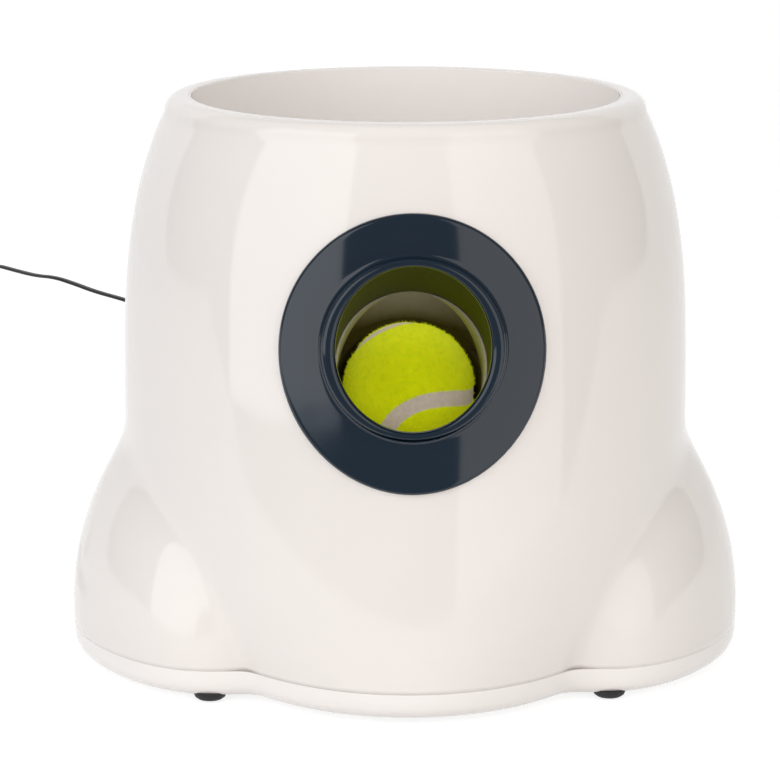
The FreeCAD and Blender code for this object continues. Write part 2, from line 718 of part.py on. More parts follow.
def make_ball():
    owner = body("ball_body")
    radius = D.ball_radius
    sketch = owner.newObject("Sketcher::SketchObject", "ball_profile")
    sketch.AttachmentSupport = (plane_of(owner, "XZ_Plane"), [""])
    sketch.MapMode = "FlatFace"
    arc = Part.ArcOfCircle(Part.Circle(Vector(0, 0, 0), Vector(0, 0, 1), number(radius)),
                           -math.pi / 2, math.pi / 2)
    sketch.addGeometry(arc, False)
    sketch.addGeometry(Part.LineSegment(Vector(0, number(radius), 0),
                                        Vector(0, -number(radius), 0)), False)
    sketch.addConstraint(Sketcher.Constraint("Coincident", 0, 2, 1, 1))
    sketch.addConstraint(Sketcher.Constraint("Coincident", 1, 2, 0, 1))
    sketch.addConstraint(Sketcher.Constraint("Coincident", 0, 3, -1, 1))
    sketch.addConstraint(Sketcher.Constraint("PointOnObject", 1, 1, -2))
    where = sketch.addConstraint(Sketcher.Constraint("Radius", 0, number(radius)))
    sketch.setExpression(f"Constraints[{where}]", radius.text)
    revolve(owner, sketch, "Z_Axis")
    drop = -(D.barrel_radius - D.ball_radius - 0.1)
    piece(owner, "tennis_ball", Placement(in_launch(D.ball_place, drop), Rotation()))


# plunger

def along_launch(name, radius, start, length, w=0.0, x=0.0):
    return cylinder(name, radius, length, (start, w, x), (1, 0, 0))


def make_plunger():
    pad_front = strike_place
    pad_solid = along_launch("pad", D.striker_radius, pad_front, D.pad_thickness)
    piece(pad_solid, "striker_pad", launch_frame.multiply(pad_solid.Placement))

    owner = body("striker_head_body")
    face, rear = pad_front + D.pad_thickness, head_back
    neck = D.rod_radius + 2
    profile = outline(owner, "head_profile", "XY_Plane", [
        (face, 0), (face, D.striker_radius), (rear, D.striker_radius), (rear, neck),
        (rear + 4, neck), (rear + 4, D.rod_radius + 0.02), (face + 2, D.rod_radius + 0.02),
        (face + 2, 0)])
    revolve(owner, profile, "X_Axis")
    piece(owner, "striker_head", launch_frame)

    rod = along_launch("rod", D.rod_radius, face + 2.02, bar_start - face - 2.02 + 1)
    height = D.bar_top + D.rack_pitch_depth + D.rack_module
    bar_length = bar_end - number(bar_start)
    bar = box("bar", bar_length, height, D.bar_half_width * 2,
              (number(bar_start) + bar_length / 2, D.bar_top - height / 2, -D.bar_half_width))
    piece(cut("rack_cut", fuse("rack_solid", [rod, bar]), [rack_gaps()]), "plunger_rack",
          launch_frame)

    piece(helical_spring(), "launch_spring", launch_frame)


def rack_gaps():
    """Spaces between the rack's teeth, one of them over the sector's first tooth."""
    module, backlash = number(D.rack_module), number(D.mesh_backlash)
    lean = math.tan(math.radians(20))
    depth = -number(D.rack_pitch_depth)
    low, high = depth - module - 0.5, depth + module * 1.25
    half = pitch / 4 + backlash / 2
    gaps = []
    for i in range(-1, int(pitches) + 1):
        middle = mesh_u - i * pitch
        bottom, top = half + (depth - low) * lean, half - (high - depth) * lean
        wide = number(D.bar_half_width) + 1
        corners = [Vector(middle - bottom, low, -wide), Vector(middle + bottom, low, -wide),
                   Vector(middle + top, high, -wide), Vector(middle - top, high, -wide)]
        face = Part.Face(Part.makePolygon(corners + [corners[0]]))
        gaps.append(face.extrude(Vector(0, 0, 2 * wide)))
    return made("rack_gaps", Part.makeCompound(gaps))


def pole_radius(radius, poles):
    """Radius at which evenly spaced poles pull a smooth cubic curve onto the given circle."""
    return radius * 3 / (2 + math.cos(2 * math.pi / poles))


def helical_spring():
    """A compression spring round the rod, from the striker to the end plate."""
    wire_radius, radius = number(D.spring_wire) / 2, number(D.spring_radius)
    start = number(head_back) + wire_radius + 0.1
    length = number(D.spring_length) - 2 * wire_radius - 0.2
    turns, steps, around = int(number(D.spring_turns)), 24, 8
    run, wire = pole_radius(radius, steps), pole_radius(wire_radius, around)
    lead = math.atan(length / turns / (2 * math.pi * radius))
    poles = []
    for i in range(turns * steps + 1):
        angle = 2 * math.pi * i / steps
        outward = Vector(0, math.cos(angle), math.sin(angle))
        sideways = Vector(math.cos(lead), math.sin(angle) * math.sin(lead),
                          -math.cos(angle) * math.sin(lead))
        centre = Vector(start + length * i / (turns * steps), 0, 0) + outward * run
        row = []
        for j in range(around):
            around_wire = 2 * math.pi * j / around
            row.append(centre + outward * (wire * math.cos(around_wire))
                       + sideways * (wire * math.sin(around_wire)))
        poles.append(row)
    return made("spring_coil", solid_over(poles))


# gears

def tooth_ring(module, teeth, dedendum=1.25):
    maker = fcgear.FCWireBuilder()
    involute.CreateExternalGear(maker, module, int(teeth), 20, split=True, addCoeff=1.0,
                                dedCoeff=dedendum, filletCoeff=0.38, shiftCoeff=0.0)
    return Part.Wire([curve.toShape() for curve in maker.wire])


def gear(name, module, teeth, centre, x_from, width, angle):
    """A spur gear in the launch frame with one tooth at the angle, in degrees."""
    profile = made(f"{name}_profile", Part.Face(tooth_ring(number(module), number(teeth))))
    item = new("Part::Extrusion", name)
    item.Base = profile
    item.Dir = Vector(0, 0, 1)
    item.Solid = True
    bind(item, "LengthFwd", width)
    item.Placement = Placement(vector(centre[0], centre[1], x_from),
                               Rotation(Vector(0, 0, 1), angle))
    return item


def mesh_angle(direction, angle, teeth, other_teeth):
    """Tooth angle of a gear that lies in the direction from one whose tooth is at the angle."""
    fraction = (direction - angle) * teeth / 360.0
    return direction + 180.0 - (0.5 - fraction) * 360.0 / other_teeth


def hub(name, centre, radius, x_from, width):
    return cylinder(name, radius, width, (centre[0], centre[1], x_from), (0, 0, 1))


# places of the gear layers across the launcher
wheel_x = 6.0
large_x = 12.6
middle_x = -1.0


def make_gears():
    clear = D.shaft_radius + D.running_clearance
    teeth, module = D.sector_teeth, D.rack_module
    sector_angle = 90.0
    full = gear("sector_teeth_ring", module, teeth, sector_at, -D.bar_half_width,
                D.bar_half_width * 2, sector_angle)
    # beyond its toothed arc the sector is cut back to below the roots
    root = sector_pitch_radius - 1.25 * number(module) - 0.6
    tooth_turn = 360.0 / number(teeth)
    first_edge = sector_angle - tooth_turn / 2
    last_edge = sector_angle + tooth_turn * (pitches + 0.5)
    bare = 360.0 - (last_edge - first_edge)
    wedge = Part.makeCylinder(number(sector_pitch_radius + 6), 20, Vector(0, 0, -10),
                              Vector(0, 0, 1), bare)
    wedge = wedge.cut(Part.makeCylinder(root, 20, Vector(0, 0, -10)))
    wedge.rotate(Vector(0, 0, 0), Vector(0, 0, 1), last_edge)
    wedge.translate(Vector(sector_at[0], sector_at[1], 0))
    sector = cut("sector_trimmed", full, [made("bare_arc", wedge)])
    wheel = gear("wheel", D.gear_module, D.wheel_teeth, sector_at, wheel_x, D.gear_width, 0.0)
    neck = hub("sector_hub", sector_at, D.hub_radius + 4, D.bar_half_width - 0.5,
               wheel_x - D.bar_half_width + 1)
    left = hub("sector_boss", sector_at, D.hub_radius, D.plate_left_x + 0.2,
               -D.plate_left_x - D.bar_half_width + 0.3)
    far = hub("wheel_boss", sector_at, D.hub_radius, wheel_x + number(D.gear_width) - 0.5,
              D.plate_right_x - wheel_x - D.gear_width + 0.3)
    bore = hub("sector_bore", sector_at, clear, -20, 60)
    piece(cut("sector_cut", fuse("sector_solid", [sector, wheel, neck, left, far]), [bore]),
          "sector_gear", launch_frame)

    small, large, motor_teeth = D.small_teeth, D.large_teeth, D.motor_teeth
    angle = mesh_angle(second_angle, 0.0, number(D.wheel_teeth), number(small))
    pinion = gear("second_pinion", D.gear_module, small, second_at, wheel_x - 0.4,
                  D.pinion_width, angle)
    wheel = gear("second_wheel", D.gear_module, large, second_at, large_x - 1.2, D.gear_width,
                 angle)
    left = hub("second_boss", second_at, D.hub_radius, D.plate_left_x + 0.2,
               wheel_x - D.plate_left_x - 0.4)
    far = hub("second_far_boss", second_at, D.hub_radius, large_x + 3,
              D.plate_right_x - large_x - 3.2)
    bore = hub("second_bore", second_at, clear, -20, 60)
    piece(cut("second_cut", fuse("second_solid", [pinion, wheel, left, far]), [bore]),
          "second_gear", launch_frame)

    angle = mesh_angle(first_angle, angle, number(large), number(small))
    pinion = gear("first_pinion", D.gear_module, small, first_at, large_x - 1.6,
                  D.pinion_width, angle)
    wheel = gear("first_wheel", D.gear_module, large, first_at, middle_x, D.gear_width, angle)
    neck = hub("first_neck", first_at, D.hub_radius, middle_x + number(D.gear_width) - 0.5,
               large_x - 1.6 - middle_x - D.gear_width + 1)
    left = hub("first_boss", first_at, D.hub_radius, D.plate_left_x + 0.2,
               middle_x - D.plate_left_x)
    far = hub("first_far_boss", first_at, D.hub_radius, large_x - 2 + number(D.pinion_width),
              D.plate_right_x - large_x + 1.8 - D.pinion_width)
    bore = hub("first_bore", first_at, clear, -20, 60)
    piece(cut("first_cut", fuse("first_solid", [pinion, wheel, neck, left, far]), [bore]),
          "first_gear", launch_frame)

    angle = mesh_angle(motor_angle, angle, number(large), number(motor_teeth))
    pinion = gear("motor_pinion_teeth", D.gear_module, motor_teeth, motor_at, middle_x - 0.5,
                  D.pinion_width, angle)
    shaft = hub("motor_shaft", motor_at, 1.15, D.plate_left_x - D.plate_thickness + 0.2,
                middle_x - D.plate_left_x + D.plate_thickness)
    piece(fuse("pinion_solid", [pinion, shaft]), "motor_pinion", launch_frame)


def make_shafts():
    reach = D.plate_right_x - D.plate_left_x + D.plate_thickness * 2
    for name, centre in (("sector_shaft", sector_at), ("second_shaft", second_at),
                         ("first_shaft", first_at)):
        owner = body(f"{name}_body")
        section = circles(owner, f"{name}_section", "XY_Plane",
                          [(centre[0], centre[1], D.shaft_radius)])
        pad(owner, section, reach)
        shift = Placement(vector(0, 0, D.plate_left_x - D.plate_thickness), Rotation())
        piece(owner, name, launch_frame.multiply(shift))


# gearbox

def plate_corners():
    """Side outline of a gearbox plate as (y, z) corners, seen from the right."""
    def corner(u, w):
        point = in_launch(u, w)
        return (point.y, point.z)

    tube_edge = -(number(D.barrel_radius + D.barrel_wall) + 0.6)
    plate_back = number(end_plate_place + D.end_plate_thickness) + 0.1
    tab, front = number(D.tab_height), front_foot()
    bay_top = number(D.underside_height + D.floor_thickness + D.bay_height + D.tray_wall) + 2.0
    top = number(D.bar_top + D.guide_height) + 4.0
    motor_front = in_launch(motor_at[0], motor_at[1]).y - number(D.motor_radius) - 3
    return [
        (front, tab), (front, bay_top), (motor_front, bay_top),
        (motor_front, in_launch(motor_at[0], motor_at[1]).z + 14),
        corner(motor_at[0] - 10, tube_edge), corner(plate_back, tube_edge),
        corner(plate_back, top), corner(bar_end + 6, top), (rear_foot(), 62.0),
        (rear_foot(), tab)]


def front_foot():
    return number(D.bay_y + D.bay_width / 2 + D.tray_wall) + 4.0


def rear_foot():
    return in_launch(sector_at[0], sector_at[1]).y + 32.0


def gearbox_tabs():
    """Middles of the four tabs by which the gearbox stands on the base."""
    half = number(D.tab_width) / 2
    left = number(D.plate_left_x - D.plate_thickness) - half
    right_side = number(D.plate_right_x + D.plate_thickness) + half
    ends = (front_foot() + half, rear_foot() - half)
    return [(x, y) for x in (left, right_side) for y in ends]


def make_gearbox():
    holes = [sector_at, second_at, first_at]
    spacers = spacer_spots()
    tabs = gearbox_tabs()
    for name, x, side in (("gearbox_plate_left", D.plate_left_x - D.plate_thickness, -1),
                          ("gearbox_plate_right", D.plate_right_x, 1)):
        owner = body(f"{name}_body")
        profile = outline(owner, f"{name}_outline", "YZ_Plane", plate_corners())
        pad(owner, profile, D.plate_thickness)
        middle = number(x + D.plate_thickness / 2)
        spots = [spot for spot in tabs if (spot[0] - middle) * side > 0]
        parts = [owner]
        owner.Placement = Placement(vector(x, 0, 0), Rotation())
        for spot in spots:
            parts.append(box(f"{name}_tab", D.tab_width + 1, D.tab_width, D.plate_thickness,
                             (spot[0] - side * 0.5, spot[1], D.tab_height + 0.05)))
        tools = []
        for centre in holes:
            at = in_launch(centre[0], centre[1], -40)
            tools.append(cylinder(f"{name}_bore", D.shaft_radius + 0.02, 90, tuple(at), (1, 0, 0)))
        for centre in spacers:
            at = in_launch(centre[0], centre[1], -40)
            tools.append(cylinder(f"{name}_screw_hole", 1.6, 90, tuple(at), (1, 0, 0)))
        if side < 0:
            at = in_launch(motor_at[0], motor_at[1], -40)
            tools.append(cylinder("motor_boss_hole", 5.0, 90, tuple(at), (1, 0, 0)))
        for spot in spots:
            tools.append(cylinder(f"{name}_tab_hole", D.screw_radius + 0.2, 20,
                                  (spot[0], spot[1], D.tab_height - 5)))
        piece(cut(f"{name}_cut", fuse(f"{name}_solid", parts), tools), name)

    gap = D.plate_right_x - D.plate_left_x
    columns = []
    for centre in spacers:
        at = in_launch(centre[0], centre[1], D.plate_left_x + 0.02)
        columns.append(ring("spacer", 1.6, D.spacer_radius, gap - 0.04, tuple(at), (1, 0, 0)))
    piece(group("spacer_set", columns), "gearbox_spacers")
    screws = []
    for centre in spacers:
        for x, way in ((D.plate_right_x + D.plate_thickness + 1.8, -1),
                       (D.plate_left_x - D.plate_thickness - 1.8, 1)):
            at = in_launch(centre[0], centre[1], x)
            head = cylinder("gearbox_head", 2.8, 1.75, tuple(at), (way, 0, 0))
            shank = cylinder("gearbox_shank", 1.5, 13, tuple(at), (way, 0, 0))
            screws.append(fuse("gearbox_screw", [head, shank]))
    for spot in tabs:
        low = D.tab_height + D.plate_thickness + 0.1
        head = cylinder("tab_head", 2.8, 1.8, (spot[0], spot[1], low))
        shank = cylinder("tab_shank", D.screw_radius, 8.5, (spot[0], spot[1], low + 0.5), (0, 0, -1))
        screws.append(fuse("tab_screw", [head, shank]))
    piece(group("gearbox_screw_set", screws), "gearbox_screws")

    low, wide = D.bar_top + 0.1, gap - 0.04
    guide = box("guide", D.guide_length, D.guide_height, wide,
                (mesh_u, low + D.guide_height / 2, D.plate_left_x + 0.02))
    piece(guide, "rack_guide", launch_frame.multiply(guide.Placement))

    plate = along_launch("end_disc", D.barrel_radius + D.barrel_wall, end_plate_place + 0.05,
                         D.end_plate_thickness - 0.1)
    way = along_launch("bush_way", D.rod_radius + D.running_clearance + D.bush_wall,
                       end_plate_place - 2, 12)
    piece(cut("end_plate_cut", plate, [way]), "barrel_end_plate", launch_frame)
    bush = cut("bush_cut", along_launch("bush_outside",
                                        D.rod_radius + D.running_clearance + D.bush_wall - 0.02,
                                        end_plate_place + 0.05, D.end_plate_thickness + 1),
               [along_launch("bush_bore", D.rod_radius + D.running_clearance,
                             end_plate_place - 2, 12)])
    piece(bush, "rod_bush", launch_frame)


def spacer_spots():
    """Middles of the gearbox's columns, clear of every wheel."""
    low = Vector(0, rear_foot() - 9.0, number(D.tab_height) + 10.0) - launch_start
    return [(low.dot(back), low.dot(up)), (number(bar_start) + 4.2, -27.0),
            (number(bar_start) + 8.0, number(D.bar_top) + 7.5)]


def make_motor():
    start = D.plate_left_x - D.plate_thickness - 0.05
    at = in_launch(motor_at[0], motor_at[1], start)
    can = cylinder("motor_can", D.motor_radius, D.motor_length, tuple(at), (-1, 0, 0))
    nose = cylinder("motor_nose", 4.8, 3, tuple(at), (1, 0, 0))
    cap_at = at - Vector(number(D.motor_length), 0, 0)
    cap = cylinder("motor_cap", 5.0, 2.0, tuple(cap_at), (-1, 0, 0))
    bore = cylinder("motor_bore", 1.25, 12, tuple(at - Vector(6, 0, 0)), (1, 0, 0))
    piece(cut("motor_cut", fuse("motor_solid", [can, nose, cap]), [bore]), "motor")


# battery bay

def door_size():
    length = D.bay_length + D.door_margin * 2
    width = D.bay_width + D.door_margin * 2
    return length, width


def make_battery_bay():
    floor_top = D.underside_height + D.floor_thickness
    wall = D.tray_wall
    outside = box("tray_outside", D.bay_length + wall * 2, D.bay_width + wall * 2,
                  D.bay_height + wall, (0, D.bay_y, floor_top + 0.05))
    inside = box("tray_inside", D.bay_length, D.bay_width, D.bay_height + 2,
                 (0, D.bay_y, floor_top - 2))
    piece(cut("tray_cut", outside, [inside]), "battery_tray")

    length, width = door_size()
    owner = body("battery_door_body")
    half_l, half_w = length / 2, width / 2
    plate = outline(owner, "door_outline", "XY_Plane", [
        (-half_l, -half_w), (half_l, -half_w), (half_l, half_w), (-half_l, half_w)])
    pad(owner, plate, D.door_thickness)
    reach = half_l + D.door_tongue
    tongue = outline(owner, "door_tongues", "XY_Plane", [
        (-reach, -half_w + 6), (reach, -half_w + 6), (reach, half_w - 6), (-reach, half_w - 6)])
    tongue.AttachmentOffset = Placement(vector(0, 0, D.door_thickness / 2), Rotation())
    pad(owner, tongue, D.door_thickness / 2)
    grip = outline(owner, "door_grip", "XY_Plane", [
        (-14, half_w - 12), (14, half_w - 12), (14, half_w - 8), (-14, half_w - 8)])
    pocket(owner, grip, 0.8, True)
    low = D.underside_height + 0.15
    piece(owner, "battery_door", Placement(vector(0, D.bay_y, low), Rotation()))

    contacts = []
    for side in (-1, 1):
        for row_side in (-1, 1):
            x = side * (number(D.bay_length) / 2 - 0.5)
            y = number(D.bay_y) + row_side * number(D.bay_width) / 4
            contacts.append(box("contact", 0.6, 16, 18, (x, y, floor_top + 4)))
    piece(group("contact_set", contacts), "battery_contacts")


# electronics

def board_middle():
    return (74.0, 28.0)


def board_posts():
    x, y = board_middle()
    return [(x + dx, y + dy) for dx in (-24, 24) for dy in (-16, 16)]


def make_main_board():
    x, y = board_middle()
    low = D.tab_height + 0.05
    owner = body("main_board_body")
    plate = outline(owner, "main_board_outline", "XY_Plane", [
        (-30, -22), (30, -22), (30, 22), (-30, 22)])
    pad(owner, plate, D.board_thickness)
    holes = circles(owner, "main_board_holes", "XY_Plane",
                    [(dx, dy, 1.6) for dx in (-24, 24) for dy in (-16, 16)])
    pocket(owner, holes, D.board_thickness, True)
    piece(owner, "main_board", Placement(vector(x, y, low), Rotation()))
    top = number(low + D.board_thickness) + 0.05
    items = [
        cylinder("capacitor", 5.0, 14, (x - 12, y + 2, top)),
        cylinder("capacitor", 3.2, 9, (x - 2, y + 8, top)),
        box("driver_chip", 12, 8, 3, (x + 8, y - 6, top)),
        box("relay", 15, 12, 12, (x + 12, y + 9, top)),
        box("terminal_block", 8, 20, 9, (x - 24, y - 1, top)),
    ]
    piece(group("board_parts", items), "board_components")


def make_control_panel():
    proud, clear = D.panel_proud, D.seat_clearance
    low, high = number(D.panel_height) - 30.0, number(D.panel_height) + 30.0
    start, depth = D.body_radius - 20, 30
    skin = dome_band("panel_skin", clear, proud, low, high)
    inner = dome_band("panel_inner_skin", -D.shell_wall, clear + 0.1, low, high)
    face = common("panel_face", skin, panel_prism(
        "panel_outline", D.panel_half_width, D.panel_half_height, start, depth))
    plug = common("panel_plug", inner, panel_prism(
        "panel_plug_outline", D.panel_half_width - D.panel_ledge - 0.2,
        D.panel_half_height - D.panel_ledge - 0.2, start, depth))
    tools = []
    for x in button_places():
        tools.append(cylinder("button_way", D.button_radius + 0.2, depth,
                              (x, start, D.panel_height - 4), (0, 1, 0)))
    for x in lens_places():
        tools.append(cylinder("lens_way", D.lens_radius + 0.05, depth,
                              (x, start, D.panel_height + D.lens_rise), (0, 1, 0)))
    posts = []
    for x, z in panel_posts():
        foot = board_face() + 0.05
        reach = panel_surface(x, -D.shell_wall) + 1.0 - foot
        posts.append(cylinder("panel_post", 2.2, reach, (x, foot, z), (0, 1, 0)))
        tools.append(cylinder("post_pilot", 1.15, 5, (x, foot - 1, z), (0, 1, 0)))
    piece(cut("panel_cut", fuse("panel_solid", [face, plug] + posts), tools), "control_panel")


def button_places():
    half = number(D.button_spacing) / 2
    return (half, -half)


def lens_places():
    step = number(D.lens_spacing)
    return (-step, 0.0, step)


def panel_surface(x, offset):
    """How far back the panel's level is at a side offset, counted from the body's axis."""
    return math.sqrt((dome_radius(number(D.panel_height)) + number(offset)) ** 2 - x * x)


def board_plane():
    edge = number(D.panel_half_width - D.panel_ledge)
    return panel_surface(edge, -D.shell_wall) - 3.0


def board_face():
    """Where the switch board's outer face lies."""
    return board_plane() - 3.6


def panel_posts():
    """Middles of the posts that carry the switch board."""
    x, middle = number(D.panel_half_width) - 9.0, number(D.panel_height) + 2.0
    return [(side * x, middle + rise) for side in (-1, 1) for rise in (-13.0, 13.0)]


def make_buttons():
    for name, x in zip(("power_button", "distance_button"), button_places()):
        tip = panel_surface(abs(x) - number(D.button_radius), D.panel_proud + D.button_proud)
        inside = panel_surface(abs(x) + number(D.button_radius) + 1.4, -D.shell_wall) - 0.1
        flange = inside - 1.5
        owner = body(f"{name}_body")
        radius = D.button_radius
        profile = outline(owner, f"{name}_profile", "XY_Plane", [
            (0, flange), (radius + 1.4, flange), (radius + 1.4, inside), (radius, inside),
            (radius, tip - 1.4), (radius - 1.4, tip - 0.4), (radius * 0.4, tip), (0, tip)])
        revolve(owner, profile, "Y_Axis")
        piece(owner, name, Placement(vector(x, 0, D.panel_height - 4), Rotation()))


def make_lenses():
    items = []
    for x in lens_places():
        tip = panel_surface(x, D.panel_proud) - 0.6
        start = board_plane() + 3.2
        items.append(cylinder("lens", D.lens_radius, tip - start,
                              (x, start, D.panel_height + D.lens_rise), (0, 1, 0)))
    piece(group("lens_set", items), "indicator_lenses")


def make_switch_board():
    plane = board_face()
    back_face = plane - number(D.board_thickness)
    plate = box("switch_plate", D.panel_half_width * 2 - 10, D.panel_half_height * 2 - 10,
                D.board_thickness, (0, back_face, D.panel_height + 2), (0, 1, 0))
    ways, screws = [], []
    for x, z in panel_posts():
        ways.append(cylinder("board_way", 1.3, 8, (x, back_face - 2, z), (0, 1, 0)))
        head = cylinder("board_head", 2.2, 1.4, (x, back_face - 1.45, z), (0, 1, 0))
        shank = cylinder("board_shank", 1.1, 5, (x, back_face - 1.0, z), (0, 1, 0))
        screws.append(fuse("board_screw", [head, shank]))
    piece(cut("switch_board_cut", plate, ways), "switch_board")
    low = number(D.tab_height + D.board_thickness) + 0.1
    for x, y in board_posts():
        head = cylinder("board_head", 2.6, 1.6, (x, y, low))
        shank = cylinder("board_shank", 1.3, 7, (x, y, low + 0.5), (0, 0, -1))
        screws.append(fuse("board_screw", [head, shank]))
    piece(group("board_screw_set", screws), "board_screws")
    switches = []
    for x in button_places():
        inside = panel_surface(abs(x) + number(D.button_radius) + 1.4, -D.shell_wall) - 0.1
        tip = inside - 1.5 - number(D.button_travel) - 0.2
        base = box("switch_base", 6, 6, 3.0, (x, plane + 0.05, D.panel_height - 4), (0, 1, 0))
        height = max(tip - plane - 0.05, 0.6)
        nib = cylinder("switch_nib", 1.6, height, (x, plane + 0.05, D.panel_height - 4), (0, 1, 0))
        switches.append(fuse("switch", [base, nib]))
    for x in lens_places():
        switches.append(box("lamp", 3, 2, 2.6, (x, plane + 0.05, D.panel_height + D.lens_rise),
                            (0, 1, 0)))
    piece(group("switch_set", switches), "switches_and_lamps")


def make_ball_sensor():
    items = []
    at = in_launch(D.ball_place, 4)
    reach = number(D.barrel_radius + D.barrel_wall) + 0.3
    for side in (-1, 1):
        items.append(box("sensor", 10, 14, 5, (side * reach, at.y, at.z), (side, 0, 0)))
    piece(group("sensor_set", items), "ball_sensor")


# power inlet and lead

plug_stand_off = 1.9


def make_power_inlet():
    way = tuple(outward_jack())
    barrel = cylinder("jack_barrel", D.jack_radius, 13.5, tuple(jack_point(-12.5)), way)
    flange = cylinder("jack_flange", D.jack_radius + 1.8, 1.4, tuple(jack_point(0.35)), way)
    shoulder = box("jack_case", 11, 10, 6, tuple(jack_point(-18)), way)
    bore = cylinder("jack_bore_way", D.jack_bore, 12, tuple(jack_point(-9.5)), way)
    hollow = cut("jack_hollow", fuse("jack_solid", [barrel, flange, shoulder]), [bore])
    pin = cylinder("jack_pin", 0.95, 10.5, tuple(jack_point(-10)), way)
    piece(fuse("jack_with_pin", [hollow, pin]), "dc_jack")
    nut = ring("jack_nut_ring", D.jack_radius + 0.02, D.jack_radius + 2.6, 2.0,
               tuple(jack_point(-5.2)), way)
    piece(nut, "jack_nut")

    sleeve = cylinder("plug_sleeve", D.jack_bore - 0.15, 11, tuple(jack_point(-9)), way)
    grip = cylinder("plug_grip", D.plug_radius, D.plug_length, tuple(jack_point(plug_stand_off)), way)
    relief = cone("plug_relief", D.plug_radius - 1.2, D.cord_radius + 0.5, D.relief_length,
                  tuple(jack_point(number(D.plug_length) + plug_stand_off)), way)
    hole = cylinder("plug_hole", 1.15, 12, tuple(jack_point(-9.5)), way)
    piece(cut("plug_cut", fuse("plug_solid", [sleeve, grip, relief]), [hole]), "dc_plug")


def rounded_path(points):
    """Straight runs joined by tangent arcs that are as large as the runs allow."""
    edges, radii, last = [], [], points[0]
    for i in range(1, len(points) - 1):
        before, at, after = points[i - 1], points[i], points[i + 1]
        inward, outward = (at - before), (after - at)
        run = min(inward.Length, outward.Length)
        turn = inward.getAngle(outward)
        reach = 0.45 * run
        radii.append(reach / math.tan(turn / 2))
        start = at - inward.normalize() * reach
        end = at + outward.normalize() * reach
        to_middle = (end + start) * 0.5 - at
        radius = radii[-1]
        far = math.hypot(radius, reach) - radius
        crown = at + to_middle.normalize() * far
        edges.append(Part.LineSegment(last, start).toShape())
        edges.append(Part.Arc(start, crown, end).toShape())
        last = end
    edges.append(Part.LineSegment(last, points[-1]).toShape())
    return Part.Wire(edges), radii


def cord_tube(name, points):
    path, radii = rounded_path(points)
    direction = points[1] - points[0]
    section = Part.Wire(Part.makeCircle(number(D.cord_radius), points[0], direction))
    tube = path.makePipeShell([section], True, True)
    expected = math.pi * number(D.cord_radius) ** 2 * path.Length
    print(f"{name}: length {path.Length:.1f}, smallest radius {min(radii):.1f}, "
          f"volume ratio {tube.Volume / expected:.4f}")
    print(f"{name} radii:", " ".join(f"{radius:.0f}" for radius in radii))
    return made(name, tube)


